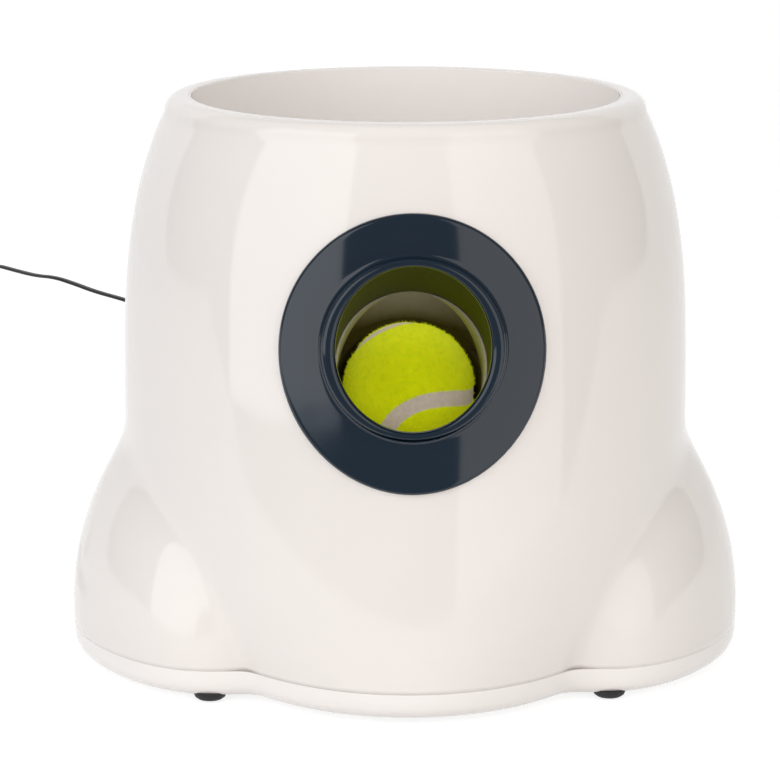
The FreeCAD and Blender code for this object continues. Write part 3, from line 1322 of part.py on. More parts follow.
def make_lead():
    # level behind the body with its own small waves, then down to the floor and into the coil
    exit_run = 20.0
    relief_end = number(D.plug_length + D.relief_length) + plug_stand_off
    route = [jack_point(relief_end), jack_point(relief_end + exit_run)]
    route += [Vector(*point) for point in (
        (-125.5, 149.5, 118.6), (-138.0, 163.5, 119.2), (-149.0, 177.5, 120.5),
        (-158.5, 187.5, 121.6), (-168.0, 199.0, 120.2), (-179.0, 213.0, 120.2),
        (-190.5, 227.0, 120.6), (-202.0, 239.0, 116.5), (-210.5, 247.0, 106.0),
        (-215.5, 251.5, 90.0), (-218.5, 254.5, 70.0), (-221.5, 257.0, 49.0),
        (-226.0, 257.5, 28.5), (-232.0, 252.5, 12.0), (-237.5, 241.5, 3.2),
        (-239.5, 226.0, 1.6), (-238.0, 211.0, 1.6), (-235.8, 199.0, 1.6), (-235.0, 190.0, 2.2))]
    piece(cord_tube("lead_tube", route), "power_cord")

    middle = vector(D.coil_x, D.coil_y, 0)
    radius, half, thick = number(D.coil_mid_radius), number(D.coil_half_width), D.coil_thickness
    low = D.tie_thickness + 0.2
    loop = Part.makeCylinder(radius + half, number(thick), middle + Vector(0, 0, number(low)))
    loop = loop.cut(Part.makeCylinder(radius - half, number(thick) + 2, middle - Vector(0, 0, 1)))
    rims = [edge for edge in loop.Edges if len(edge.Vertexes) == 1]
    piece(made("coil_ring", loop.makeFillet(2.2, rims)), "cord_coil")

    # a band round the coil, on the side away from the adapter
    band_wide, band = 8.0, D.tie_thickness
    curve = radius - half - math.sqrt((radius - half) ** 2 - band_wide ** 2 / 4)
    across, over = half * 2 + curve + 0.6, thick + 0.4
    at = (D.coil_x, D.coil_y + (radius - curve / 2), 0.02)
    strap = box("tie_strap", band_wide, band * 2 + across, band * 2 + over, at)
    hole = box("tie_hole", band_wide + 4, across, over, (at[0], at[1], band))
    lock = box("tie_lock", 5.0, 3.0, 3.5, (at[0], at[1] + (band + across / 2 + 1.0), thick / 2))
    piece(cut("tie_cut", fuse("tie_solid", [strap, lock]), [hole]), "cord_tie")

    # the last stretch, from the coil's right side to the adapter's relief
    width, length, thickness = D.adapter_width, D.adapter_length, D.adapter_thickness
    relief_y = number(D.adapter_y + length / 2)
    reach = 12.0
    tail_end = Vector(number(D.adapter_x), relief_y + reach, number(thickness) / 2)
    tail = [Vector(-235.2, 185.5, 6.2), Vector(-234.4, 178.0, 9.0), Vector(-231.3, 170.2, 12.4),
            tail_end + Vector(0, 7.5, 0), tail_end]
    piece(cord_tube("tail_tube", tail), "cord_tail")
    relief = cone("adapter_relief_cone", D.cord_radius + 1.6, D.cord_radius + 0.4, reach,
                  (D.adapter_x, relief_y, thickness / 2), (0, 1, 0))
    piece(relief, "adapter_relief")

    case = box("adapter_block", width, length, thickness, (D.adapter_x, D.adapter_y, 0.0))
    rounded = new("Part::Fillet", "adapter_rounded")
    rounded.Base = case
    doc.recompute()
    rounding = number(D.adapter_rounding)
    rounded.Edges = [(i + 1, rounding, rounding) for i in range(len(case.Shape.Edges))]
    sockets, pins = [], []
    for side in (-1, 1):
        at = (D.adapter_x + D.pin_spacing / 2 * side, D.adapter_y - 8.0, thickness - 6.0)
        sockets.append(cylinder("pin_socket", D.pin_radius + 0.02, 12, at))
        pins.append(cylinder("pin", D.pin_radius, D.pin_length + 6.0, at))
    piece(cut("adapter_cut", rounded, sockets), "wall_adapter")
    piece(group("pin_pair", pins), "adapter_pins")


make_body_shell()
make_base_cover()
make_feet()
make_base_screws()
make_hopper()
make_launch_ring()
make_barrel()
make_ball()
make_plunger()
make_gears()
make_shafts()
make_gearbox()
make_motor()
make_battery_bay()
make_main_board()
make_control_panel()
make_buttons()
make_lenses()
make_switch_board()
make_ball_sensor()
make_power_inlet()
make_lead()

doc.recompute()
failed = [item.Name for item in doc.Objects if "Invalid" in item.State or "Error" in item.State]
if failed:
    raise RuntimeError(f"these objects failed: {failed}")
os.makedirs("parts", exist_ok=True)
for item in pieces:
    if item.Shape.isNull() or not item.Shape.isValid() or not item.Shape.Solids:
        raise RuntimeError(f"{item.Label} has no valid solid")
for item in pieces:
    item.Shape.exportStep(f"parts/{item.Label}.step")
print(len(pieces), "nodes,", sum(len(item.Shape.Solids) for item in pieces), "solids")
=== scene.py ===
import math

import bpy
import numpy as np
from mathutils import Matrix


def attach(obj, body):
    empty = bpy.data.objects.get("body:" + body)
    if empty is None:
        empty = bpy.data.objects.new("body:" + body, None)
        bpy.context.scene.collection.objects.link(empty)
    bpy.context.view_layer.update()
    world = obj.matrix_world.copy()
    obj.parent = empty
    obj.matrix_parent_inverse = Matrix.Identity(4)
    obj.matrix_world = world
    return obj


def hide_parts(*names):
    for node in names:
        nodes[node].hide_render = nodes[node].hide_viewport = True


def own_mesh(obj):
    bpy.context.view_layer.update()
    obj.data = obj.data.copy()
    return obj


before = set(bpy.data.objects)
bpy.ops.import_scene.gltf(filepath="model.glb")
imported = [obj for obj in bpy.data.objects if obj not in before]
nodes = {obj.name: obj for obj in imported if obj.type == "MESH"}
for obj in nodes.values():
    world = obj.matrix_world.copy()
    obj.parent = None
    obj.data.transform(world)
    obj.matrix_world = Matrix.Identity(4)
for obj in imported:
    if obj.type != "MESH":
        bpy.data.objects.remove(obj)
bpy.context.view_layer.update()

mm = 0.001  # the pieces' dictionaries are in mm and degrees, and the meshes in metres


cameraView = {
    "place": (-0.0342, -1.2996, 0.3951),  # metres
    "turn": (77.554, 0.0, -1.23),  # degrees
    "lens": 149.2,
    "sensor": 36.0,
    "farthest": 20.0,  # metres
}

cameraData = bpy.data.cameras.new("studioCamera")
cameraData.lens = cameraView["lens"]
cameraData.sensor_width = cameraView["sensor"]
cameraData.clip_end = cameraView["farthest"]
cameraObject = bpy.data.objects.new("studioCamera", cameraData)
cameraObject.location = cameraView["place"]
cameraObject.rotation_euler = [math.radians(a) for a in cameraView["turn"]]
bpy.context.scene.collection.objects.link(cameraObject)
bpy.context.scene.camera = cameraObject
bpy.context.scene.view_settings.view_transform = "Standard"
print("camera stands")


def unit(v):
    # each row over its own length
    return v / np.linalg.norm(v, axis=-1, keepdims=True)


def smoothStep(t):
    # from 0 to 1 with level ends: three times the square less twice the cube
    t = np.clip(t, 0, 1)
    return t * t * (3 - 2 * t)


def turnAbout(axis, degrees):
    # the matrix of a turn about x, y or z, given as 0, 1 or 2
    c, s = math.cos(math.radians(degrees)), math.sin(math.radians(degrees))
    i, j = (axis + 1) % 3, (axis + 2) % 3
    matrix = np.eye(3)
    matrix[[i, j], [i, j]] = c
    matrix[[i, j], [j, i]] = -s, s
    return matrix


def gridFaces(rows, columns, closeRows=False, closeColumns=False):
    # the four corner numbers of every cell of a grid, as one array
    r = np.arange(rows if closeRows else rows - 1)[:, None]
    c = np.arange(columns if closeColumns else columns - 1)[None, :]
    nextRow, nextColumn = (r + 1) % rows, (c + 1) % columns
    corners = (r * columns + c, r * columns + nextColumn,
               nextRow * columns + nextColumn, nextRow * columns + c)
    return np.stack(np.broadcast_arrays(*corners), axis=-1).reshape(-1, 4)


def fanFaces(centre, ring, flip):
    # triangles from one centre point to a closed ring of point numbers
    pair = (ring, np.roll(ring, -1))
    first, second = pair[::-1] if flip else pair
    return np.stack([np.full(len(ring), centre), first, second], axis=-1)


def tubeFaces(rows, columns, flip=False):
    # a grid closed round its columns, and a fan at each end to one of the two points that follow it
    wall = gridFaces(rows, columns, closeColumns=True)
    first = np.arange(columns)
    return [wall[:, ::-1] if flip else wall,
            fanFaces(rows * columns, first, not flip),
            fanFaces(rows * columns + 1, first + (rows - 1) * columns, flip)]


def addPiece(name, points, faces, material, body="housing"):
    # points in metres as one array, faces as arrays of three or four corner numbers
    points = np.asarray(points, dtype=np.float64).reshape(-1, 3)
    sizes = np.concatenate([np.full(len(f), f.shape[1]) for f in faces])
    corners = np.concatenate([f.ravel() for f in faces]).astype(np.int32)
    mesh = bpy.data.meshes.new(name)
    mesh.vertices.add(len(points))
    mesh.vertices.foreach_set("co", points.ravel().astype(np.float32))
    mesh.loops.add(len(corners))
    mesh.loops.foreach_set("vertex_index", corners)
    mesh.polygons.add(len(sizes))
    mesh.polygons.foreach_set("loop_start", np.concatenate([[0], np.cumsum(sizes)[:-1]]).astype(np.int32))
    mesh.polygons.foreach_set("loop_total", sizes.astype(np.int32))
    mesh.polygons.foreach_set("use_smooth", np.full(len(sizes), True))
    mesh.update(calc_edges=True)
    mesh.validate()
    mesh.materials.append(material)
    piece = bpy.data.objects.new(name, mesh)
    bpy.context.scene.collection.objects.link(piece)
    if body:
        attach(piece, body)
    return piece


def softCorners(points, cuts, steps):
    # a run of straight lines whose inner corners are swept by a parabola, which starts and ends
    # one cut away from the corner
    points = [np.asarray(p, dtype=float) for p in points]
    rows = [points[0]]
    for before, at, after, cut in zip(points[:-2], points[1:-1], points[2:], cuts):
        if cut <= 0:
            rows.append(at)
            continue
        a = at + (before - at) / np.linalg.norm(before - at) * cut
        b = at + (after - at) / np.linalg.norm(after - at) * cut
        t = np.linspace(0, 1, steps + 1)[:, None]
        rows.extend((1 - t) ** 2 * a + 2 * t * (1 - t) * at + t ** 2 * b)
    rows.append(points[-1])
    return np.array(rows)


noiseBand = (0.3, 0.7)  # most values of a noise lie between these


def linear(colour):
    # a screen colour 0..255 as the shader's own numbers
    c = np.asarray(colour, dtype=float) / 255
    return tuple(np.where(c <= 0.04045, c / 12.92, ((c + 0.055) / 1.055) ** 2.4)) + (1.0,)


def startMaterial(name):
    # a new material with its nodes, its shader and the object's own coordinates
    material = bpy.data.materials.new(name)
    material.use_nodes = True
    tree = material.node_tree
    shader = tree.nodes["Principled BSDF"]
    place = tree.nodes.new("ShaderNodeTexCoord").outputs["Object"]
    return material, tree, shader, place


def setSockets(node, values):
    # plain values on the node's inputs, by name
    for name, value in values.items():
        node.inputs[name].default_value = value


def addNoise(tree, place, scale, detail=3.0, roughness=0.5, stretch=None):
    # finer with a higher scale, and drawn out along an axis whose stretch is small
    if stretch:
        mapping = tree.nodes.new("ShaderNodeMapping")
        mapping.inputs["Scale"].default_value = stretch
        tree.links.new(place, mapping.inputs["Vector"])
        place = mapping.outputs["Vector"]
    noise = tree.nodes.new("ShaderNodeTexNoise")
    setSockets(noise, {"Scale": scale, "Detail": detail, "Roughness": roughness})
    tree.links.new(place, noise.inputs["Vector"])
    return noise.outputs["Fac"]


def addRamp(tree, value, stops):
    # stops are (place, colour) pairs
    ramp = tree.nodes.new("ShaderNodeValToRGB")
    ramp.color_ramp.elements[0].position, ramp.color_ramp.elements[0].color = stops[0]
    ramp.color_ramp.elements[1].position, ramp.color_ramp.elements[1].color = stops[-1]
    for where, colour in stops[1:-1]:
        ramp.color_ramp.elements.new(where).color = colour
    tree.links.new(value, ramp.inputs["Fac"])
    return ramp.outputs["Color"]


def addRange(tree, value, low, high, fromLow=noiseBand[0], fromHigh=noiseBand[1]):
    # the stretch between two values brought to the stretch from low to high
    spread = tree.nodes.new("ShaderNodeMapRange")
    setSockets(spread, {"From Min": fromLow, "From Max": fromHigh, "To Min": low, "To Max": high})
    tree.links.new(value, spread.inputs["Value"])
    return spread.outputs["Result"]


def addAlong(tree, place, axis, start, end):
    # 0 at the start and 1 at the end of a stretch of one axis, in metres
    split = tree.nodes.new("ShaderNodeSeparateXYZ")
    tree.links.new(place, split.inputs["Vector"])
    return addRange(tree, split.outputs[axis], 0.0, 1.0, start, end)


def addScaled(tree, value, factor, base):
    # the value times the factor, on top of the base
    total = tree.nodes.new("ShaderNodeMath")
    total.operation = "MULTIPLY_ADD"
    tree.links.new(value, total.inputs[0])
    total.inputs[1].default_value = factor
    tree.links.new(base, total.inputs[2])
    return total.outputs[0]


def addBump(tree, shader, value, distance, strength=1.0, before=None):
    # relief as deep as distance, in metres, on top of the relief before it
    bump = tree.nodes.new("ShaderNodeBump")
    setSockets(bump, {"Distance": distance, "Strength": strength})
    tree.links.new(value, bump.inputs["Height"])
    if before:
        tree.links.new(before, bump.inputs["Normal"])
    tree.links.new(bump.outputs["Normal"], shader.inputs["Normal"])
    return bump.outputs["Normal"]


def shade(colour, factor):
    # the colour times the factor, and no lighter than white
    return tuple(min(c * factor, 1.0) for c in colour[:3]) + (1.0,)


def addTint(tree, shader, value, colour, low, high=1.0):
    # the base colour runs from low times the colour to high times the colour
    tint = addRamp(tree, value, [(noiseBand[0], shade(colour, low)), (noiseBand[1], shade(colour, high))])
    tree.links.new(tint, shader.inputs["Base Color"])


def addGloss(tree, shader, value, ends, gloss=1.0):
    # the roughness runs between the two ends, counted in parts of the gloss
    tree.links.new(addRange(tree, value, *[gloss * end for end in ends]), shader.inputs["Roughness"])


# noises are (scale, detail, roughness), and heights of relief are in metres
plasticSkin = {"patches": (14.0, 4.0), "grainDetail": 2.0, "waveDetail": 1.0, "glossEnds": (0.9, 1.12)}
tubeSkin = {
    "clouds": (260.0, 3.0), "cloudShare": 0.08, "halfWay": 0.45, "grain": (1600.0, 2.0),
    "grainHeight": 0.00002, "glossEnds": (0.92, 1.08),
}
metalSkin = {
    "bloom": (60.0, 3.0), "bloomShade": 0.88, "lineDetail": 3.0, "lineHeight": 0.00002,
    "glossEnds": (0.75, 1.3),
}


def mouldedPlastic(name, colour, gloss, drift, grain, grainScale, wave=0.0, waveScale=0.0):
    # colour drifts a little over the surface, the skin waves slowly as moulded walls do,
    # and a fine grain breaks the gloss
    p = plasticSkin
    material, tree, shader, place = startMaterial(name)
    addTint(tree, shader, addNoise(tree, place, *p["patches"]), linear(colour), 1 - drift, 1 + drift)
    fine = addNoise(tree, place, grainScale, p["grainDetail"])
    addGloss(tree, shader, fine, p["glossEnds"], gloss)
    waves = None
    if wave:
        waves = addBump(tree, shader, addNoise(tree, place, waveScale, p["waveDetail"]), wave)
    addBump(tree, shader, fine, grain, before=waves)
    return material


def paintedShadePlastic(name, colour, paintedShadeColour, gloss, axis, start, end, shine=0.3):
    # a dull moulding whose colour darkens along one axis: painted shade, standing in for the light that falls
    # off down a tube
    p = tubeSkin
    material, tree, shader, place = startMaterial(name)
    depth = addAlong(tree, place, axis, start, end)
    clouded = addScaled(tree, addNoise(tree, place, *p["clouds"]), p["cloudShare"], depth)
    colour, paintedShadeColour = linear(colour), linear(paintedShadeColour)
    middle = tuple((a + b) / 2 for a, b in zip(colour, paintedShadeColour))
    # painted shade: the colour sinks to the shade colour along the axis, with a cloud of random tone over it
    sunk = addRamp(tree, clouded, [(0.0, colour), (p["halfWay"], middle), (1.0, paintedShadeColour)])
    tree.links.new(sunk, shader.inputs["Base Color"])
    fine = addNoise(tree, place, *p["grain"])
    addGloss(tree, shader, fine, p["glossEnds"], gloss)
    shader.inputs["Specular IOR Level"].default_value = shine
    addBump(tree, shader, fine, p["grainHeight"])
    return material


def turnedMetal(name, colour, gloss, stretch, scale):
    # fine lines left by turning or drawing, and a cloudy bloom in the gloss
    p = metalSkin
    material, tree, shader, place = startMaterial(name)
    shader.inputs["Metallic"].default_value = 1.0
    lines = addNoise(tree, place, scale, p["lineDetail"], stretch=stretch)
    addTint(tree, shader, addNoise(tree, place, *p["bloom"]), linear(colour), p["bloomShade"])
    addGloss(tree, shader, lines, p["glossEnds"], gloss)
    addBump(tree, shader, lines, p["lineHeight"])
    return material


bodyShape = {  # the outer skin: a dome over a narrower base, and a rounded foot on each side
    "height": 229.8, "radius": 115.0, "topDrop": 20.4, "topPower": 3.6, "waist": 90.0,
    "baseHalfWidth": 90.8, "baseHalfDepth": 114.0, "narrowPower": 2.2, "shallowPower": 2, "parting": 13.6,
    "footOffset": 78.6, "footHalfWidth": 59.2, "footHalfDepth": 82.2, "footSquareness": 0.3,
    "footLevel": 19.7, "footRise": 94.5, "footPower": 1.6, "footTip": 0.02, "creasePower": 36.0,
}


def domeRadius(z):
    # the widest radius less a drop that grows with a power of the height over the waist
    s = bodyShape
    rise = np.clip((z - s["waist"]) / (s["height"] - s["waist"]), 0, None)
    return s["radius"] - s["topDrop"] * rise ** s["topPower"]


def sideFootRadius(angle, z):
    # where a level ray from the axis leaves the side foot, by Newton's steps; with x and y in half sizes,
    # the foot's section is x squared plus y squared plus squareness times both squares, equal to 1
    s = bodyShape
    level = (z - s["footLevel"]) / s["footRise"]
    scale = np.clip(1 - level ** 2, 0, None) ** (1 / s["footPower"])
    alive = scale >= s["footTip"]
    scale = np.where(alive, scale, 1.0)
    wide, deep = s["footHalfWidth"] * scale, s["footHalfDepth"] * scale
    across, along, square = np.abs(np.cos(angle)), np.sin(angle), s["footSquareness"]
    radius = s["footOffset"] + wide + deep
    for _ in range(32):  # more than enough to settle
        x, y = (radius * across - s["footOffset"]) / wide, radius * along / deep
        miss = x * x + y * y + square * x * x * y * y - 1
        slope = 2 * (x + square * x * y * y) * across / wide + 2 * (y + square * y * x * x) * along / deep
        alive = alive & (slope > 1e-6)
        step = np.where(alive, miss / np.where(alive, slope, 1.0), 0.0)
        radius = radius - step
    return np.where(alive & (np.abs(step) < 1e-4), radius, 0.0)  # nothing where the ray misses the foot


def skinRadius(angle, z):
    # the dome's oval section and the side feet, joined by the root of a sum of high powers, which leaves
    # a soft crease
    s = bodyShape
    z = np.maximum(z, s["parting"])
    fall = np.clip(s["waist"] - z, 0, None) / (s["waist"] - s["parting"])
    dome = domeRadius(z)
    halfX = dome - (s["radius"] - s["baseHalfWidth"]) * fall ** s["narrowPower"]
    halfY = dome - (s["radius"] - s["baseHalfDepth"]) * fall ** s["shallowPower"]
    section = 1 / np.hypot(np.cos(angle) / halfX, np.sin(angle) / halfY)
    foot = sideFootRadius(angle, z)
    return section * (1 + (foot / section) ** s["creasePower"]) ** (1 / s["creasePower"])


creamSkin = {"drift": 0.012, "waveScale": 17.0, "grain": 0.000004, "grainScale": 2500.0}
creamGloss = mouldedPlastic("creamGloss", (237, 231, 227), 0.065, wave=0.0005, **creamSkin)
# painted light: a lighter copy of the cream gloss, put on the hopper bowl and the base cover to brighten them
paintedLightCream = mouldedPlastic("paintedLightCream", (244, 239, 236), 0.075, wave=0.0001, **creamSkin)
navyGloss = mouldedPlastic("navyGloss", (18, 34, 48), 0.09, drift=0.05, wave=0.00022, waveScale=34.0,
                           grain=0.000003, grainScale=2500.0)
# painted shade: the spout's cream darkens to olive down towards the barrel
spoutPaintedShade = paintedShadePlastic("spoutPaintedShade", (232, 224, 214), (74, 66, 34), 0.62, "Z", 0.172, 0.138)
# painted shade: the bore's navy darkens towards its back
navyBorePaintedShade = paintedShadePlastic("navyBorePaintedShade", (12, 20, 22), (5, 8, 7), 0.42, "Y", -0.112, -0.084, shine=0.05)
print("finishes ready")


leadShape = {
    "length": 1.5, "twistStart": 0.16, "twistEnd": 0.335,  # metres along the lead
    "width": 3.0, "thickness": 1.6, "groove": 0.32, "grooveWide": 0.28, "roundPower": 0.8, "around": 16,
    "jackAngle": 140.0, "jackHeight": 117.5, "start": 27.0, "straight": (38.9, 58.9),
    "coilMiddle": (-216.0, 186.0),
    "turnSteps": 16, "firstStep": 9, "endShort": 0.53,  # the coil stops this much of a turn short
    "driftShare": 0.25, "driftPlace": 0.22,  # part of a turn given to the drift, and where it lies
}
coilSlots = [  # radius and height of each turn, from the lead's entry to its exit
    (19.4, 2.6), (16.4, 2.6), (13.4, 2.6), (13.4, 5.6), (16.4, 5.6), (16.4, 8.6),
    (13.4, 8.6), (13.4, 11.6), (16.4, 11.6), (19.4, 11.6), (19.4, 8.6), (19.4, 5.6),
]


def jackPoint(reach):
    # a point on the inlet's axis, counted outwards from the body
    turn = math.radians(180 - leadShape["jackAngle"])
    radius = float(domeRadius(leadShape["jackHeight"])) + reach
    return (-math.sin(turn) * radius, math.cos(turn) * radius, leadShape["jackHeight"])


def coilPoints():
    # turns round the coil's middle; each drifts to the next slot over the quarter turn on the adapter's side
    s = leadShape
    steps = s["turnSteps"]
    grow = 1 / math.cos(math.pi / steps)  # the smooth line cuts the corners, so they stand further out
    last = int((len(coilSlots) - s["endShort"]) * steps)
    turnAngle = 2 * math.pi * np.arange(s["firstStep"], last) / steps
    share = turnAngle / (2 * math.pi) + s["driftShare"] - s["driftPlace"]
    slot = np.floor(share).astype(int)
    move = smoothStep((share - slot - (1 - s["driftShare"])) / s["driftShare"])
    table = np.array(coilSlots)
    here = table[np.clip(slot, 0, len(table) - 1)]
    there = table[np.clip(slot + 1, 0, len(table) - 1)]
    radius, height = (here + (there - here) * move[:, None]).T
    x = s["coilMiddle"][0] + radius * grow * np.cos(turnAngle)
    y = s["coilMiddle"][1] + radius * grow * np.sin(turnAngle)
    return np.stack([x, y, height], axis=-1)


# from the plug to the coil, and from the coil to the adapter
leadRoute = [jackPoint(leadShape["start"]), *map(jackPoint, leadShape["straight"]),
             (-125.5, 149.5, 118.6), (-138.0, 163.5, 119.2), (-149.0, 177.5, 120.5),
             (-158.5, 187.5, 121.6), (-168.0, 199.0, 120.2), (-179.0, 213.0, 120.2),
             (-190.5, 227.0, 120.6), (-202.0, 239.0, 116.5), (-210.5, 247.0, 106.0),
             (-215.5, 251.5, 90.0), (-218.5, 254.5, 70.0), (-221.5, 257.0, 49.0),
             (-226.0, 257.5, 28.5), (-232.0, 252.5, 12.0), (-237.5, 241.5, 3.2),
             (-239.5, 226.0, 1.6), (-238.0, 211.0, 1.6), (-235.8, 199.0, 1.6)]
leadTail = [(-235.6, 184.0, 6.2), (-234.4, 178.0, 9.0), (-231.3, 170.2, 12.4),
            (-229.0, 162.5, 14.0), (-229.0, 155.0, 14.0)]


def readSpline(name, points):
    # the smooth line of a quadratic spline, as Blender works it out
    curve = bpy.data.curves.new(name, "CURVE")
    curve.dimensions = "3D"
    curve.resolution_u = 10
    spline = curve.splines.new("NURBS")
    spline.points.add(len(points) - 1)
    spline.points.foreach_set("co", np.concatenate([points, np.ones((len(points), 1))], axis=1).ravel())
    spline.order_u = 3
    spline.use_endpoint_u = True
    holder = bpy.data.objects.new(name, curve)
    bpy.context.scene.collection.objects.link(holder)
    line = bpy.data.meshes.new_from_object(holder)
    path = np.empty(len(line.vertices) * 3)
    line.vertices.foreach_get("co", path)
    bpy.data.objects.remove(holder)
    bpy.data.curves.remove(curve)
    bpy.data.meshes.remove(line)
    return path.reshape(-1, 3)


def carriedSides(path, startSide):
    # a side direction carried along the path without twisting, by reflecting it twice per step
    tangent = unit(np.gradient(path, axis=0))
    sides = np.empty_like(path)
    side = unit(startSide - tangent[0] * np.dot(startSide, tangent[0]))
    sides[0] = side
    for i in range(len(path) - 1):
        step = path[i + 1] - path[i]
        size = np.dot(step, step)
        mirrored = side - step * (2 / size * np.dot(step, side))
        ahead = tangent[i] - step * (2 / size * np.dot(step, tangent[i]))
        change = tangent[i + 1] - ahead
        size = max(np.dot(change, change), 1e-18)
        side = unit(mirrored - change * (2 / size * np.dot(change, mirrored)))
        sides[i + 1] = side
    return tangent, sides


def makeLead(material):
    # two round cores side by side: an oval section, grooved along its middle, carried along the route's
    # smooth line
    s = leadShape
    coil = coilPoints()
    path = readSpline("leadLine", np.concatenate([leadRoute, coil, leadTail]) * mm)
    tangent, side = carriedSides(path, np.cross(unit(path[1] - path[0]), (0, 0, 1.0)))
    # the flat side is level at the plug and upright in the coil, and turns over on the drop between them
    run = np.concatenate([[0], np.cumsum(np.linalg.norm(np.diff(path, axis=0), axis=1))])
    other = np.cross(tangent, side)
    upright = np.array([0, 0, 1.0]) - tangent * tangent[:, 2:3]
    upright = upright / np.maximum(np.linalg.norm(upright, axis=1, keepdims=True), 1e-9)
    wanted = np.arctan2(np.sum(upright * other, axis=1), np.sum(upright * side, axis=1))
    inCoil = run > s["twistEnd"]
    wanted = np.where(inCoil, np.unwrap(wanted), 0)
    share = smoothStep((run - s["twistStart"]) / (s["twistEnd"] - s["twistStart"]))
    twist = np.where(inCoil, wanted, wanted[np.argmax(inCoil)] * share)[:, None]
    side, other = side * np.cos(twist) + other * np.sin(twist), -side * np.sin(twist) + other * np.cos(twist)
    around = np.linspace(0, 2 * math.pi, s["around"], endpoint=False)
    half, thick = s["width"] / 2 * mm, s["thickness"] / 2 * mm
    reach = np.cos(around)
    lift = np.sin(around) * (1 - s["groove"] * np.exp(-(reach / s["grooveWide"]) ** 2))
    lift = np.sign(lift) * np.abs(lift) ** s["roundPower"]
    wide, high = side[:, None] * (half * reach)[None, :, None], other[:, None] * (thick * lift)[None, :, None]
    points = np.concatenate([(path[:, None] + wide + high).reshape(-1, 3), path[[0, -1]]])
    lead = addPiece("lead", points, tubeFaces(len(path), len(around)), material)
    print("lead", round(run[-1], 4), "m, turns", len(coil) / s["turnSteps"])
    return lead, path


leadRubber = mouldedPlastic("leadRubber", (20, 20, 21), 0.42, drift=0.1, grain=0.00001, grainScale=3000.0)
lead, leadPath = makeLead(leadRubber)
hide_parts("power_cord", "cord_coil", "cord_tail")
print("lead laid")


shellPiece = {
    "columns": 336, "rows": 112, "roundRows": 9, "edgeRows": 4, "bottom": 13.72, "roundStart": 224.8,
    "roundWide": 6.0, "roundHigh": 6.25, "rimRadius": 87.2, "rimEdge": 0.35, "wall": 2.6,
    "mouth": (0.0, 147.6, 44.0, 46.5), "mouthPower": 2.0,  # middle x, z and half sizes of the oval hole
    "panel": (0.0, 150.0, 32.6, 19.6), "panelPower": 8.0,  # the same of the squarish hole at the back
    "jackHole": 5.2, "jackDeep": -20,
}


def powerHole(points, faces, hole, power, side):
    # cells whose middle is inside the hole are dropped and the edge points move out onto its outline, where
    # the powers of x and z over the half sizes add up to 1
    middle, halfSizes = hole[:2], hole[2:]
    flat = (points[:, [0, 2]] - middle) / halfSizes
    reach = (np.abs(flat[:, 0]) ** power + np.abs(flat[:, 1]) ** power) ** (1 / power)
    near = points[:, 1] * side > 0
    inside = (reach[faces].mean(axis=1) < 1) & near[faces].all(axis=1)
    edge = np.intersect1d(faces[inside].ravel(), faces[~inside].ravel())
    moved = points.copy()
    moved[edge[:, None], [0, 2]] = middle + flat[edge] / reach[edge, None] * halfSizes
    radius = skinRadius(np.arctan2(moved[edge, 1], moved[edge, 0]), moved[edge, 2])
    moved[edge, 1] = side * np.sqrt(np.maximum(radius ** 2 - moved[edge, 0] ** 2, 0))
    return moved, faces[~inside]


def roundHole(points, faces, middle, axis, radius, deepest):
    # the same for a round hole about a line that runs outwards through the wall, down to the deepest place
    offset = points - middle
    along = offset @ axis
    flat = offset - along[:, None] * axis
    reach = np.linalg.norm(flat, axis=1) / radius
    inside = (reach[faces].mean(axis=1) < 1) & (along[faces] > deepest).all(axis=1)
    edge = np.intersect1d(faces[inside].ravel(), faces[~inside].ravel())
    moved = points.copy()
    moved[edge] = middle + along[edge, None] * axis + flat[edge] / reach[edge, None]
    return moved, faces[~inside]


def makeBodyShell(material):
    # rows climb the wall by height, round over a quarter ellipse and run in to the rim's edge; columns go
    # round by angle, and a point stands at the skin's radius less its row's inset
    p = shellPiece
    wall = p["bottom"] + (p["roundStart"] - p["bottom"]) * np.linspace(0, 1, p["rows"])
    turn = np.linspace(0, math.pi / 2, p["roundRows"] + 1)[1:]
    edge = np.linspace(0, math.pi / 2, p["edgeRows"])
    heights = np.concatenate([wall, p["roundStart"] + p["roundHigh"] * np.sin(turn),
                              p["roundStart"] + p["roundHigh"] - p["rimEdge"] * (1 - np.cos(edge))])
    flat = domeRadius(p["roundStart"]) - p["roundWide"] - p["rimRadius"] - p["rimEdge"]
    inset = np.concatenate([np.zeros(p["rows"]), p["roundWide"] * (1 - np.cos(turn)),
                            p["roundWide"] + flat + p["rimEdge"] * np.sin(edge)])
    angle = np.linspace(0, 2 * math.pi, p["columns"], endpoint=False) + math.pi / 2
    a, z = np.meshgrid(angle, heights)
    radius = skinRadius(a, np.minimum(z, p["roundStart"])) - inset[:, None]
    points = np.stack([radius * np.cos(a), radius * np.sin(a), z], axis=-1).reshape(-1, 3)
    faces = gridFaces(len(heights), p["columns"], closeColumns=True)
    points, faces = powerHole(points, faces, p["mouth"], p["mouthPower"], -1)
    points, faces = powerHole(points, faces, p["panel"], p["panelPower"], 1)
    jack = np.array(jackPoint(0.0))
    outward = np.array([jack[0], jack[1], 0]) / np.hypot(jack[0], jack[1])
    points, faces = roundHole(points, faces, jack, outward, p["jackHole"], p["jackDeep"])
    used, faces = np.unique(faces, return_inverse=True)
    faces = faces.reshape(-1, 4)
    shell = addPiece("bodyShell", points[used] * mm, [faces], material)
    wallMaker = shell.modifiers.new("wall", "SOLIDIFY")  # grows inwards from the skin
    wallMaker.thickness = p["wall"] * mm
    wallMaker.offset = -1.0
    return shell


# the barrel, ring, ball and spring share one line, which climbs out of the mouth
launchLine = {"mouth": (0.0, -116.0, 149.5), "tilt": 22.5}
tilt = math.radians(launchLine["tilt"])
launchStart = np.array(launchLine["mouth"])
launchRight = np.array([1.0, 0, 0])
launchBack = np.array([0, math.cos(tilt), -math.sin(tilt)])
launchUp = np.array([0, math.sin(tilt), math.cos(tilt)])


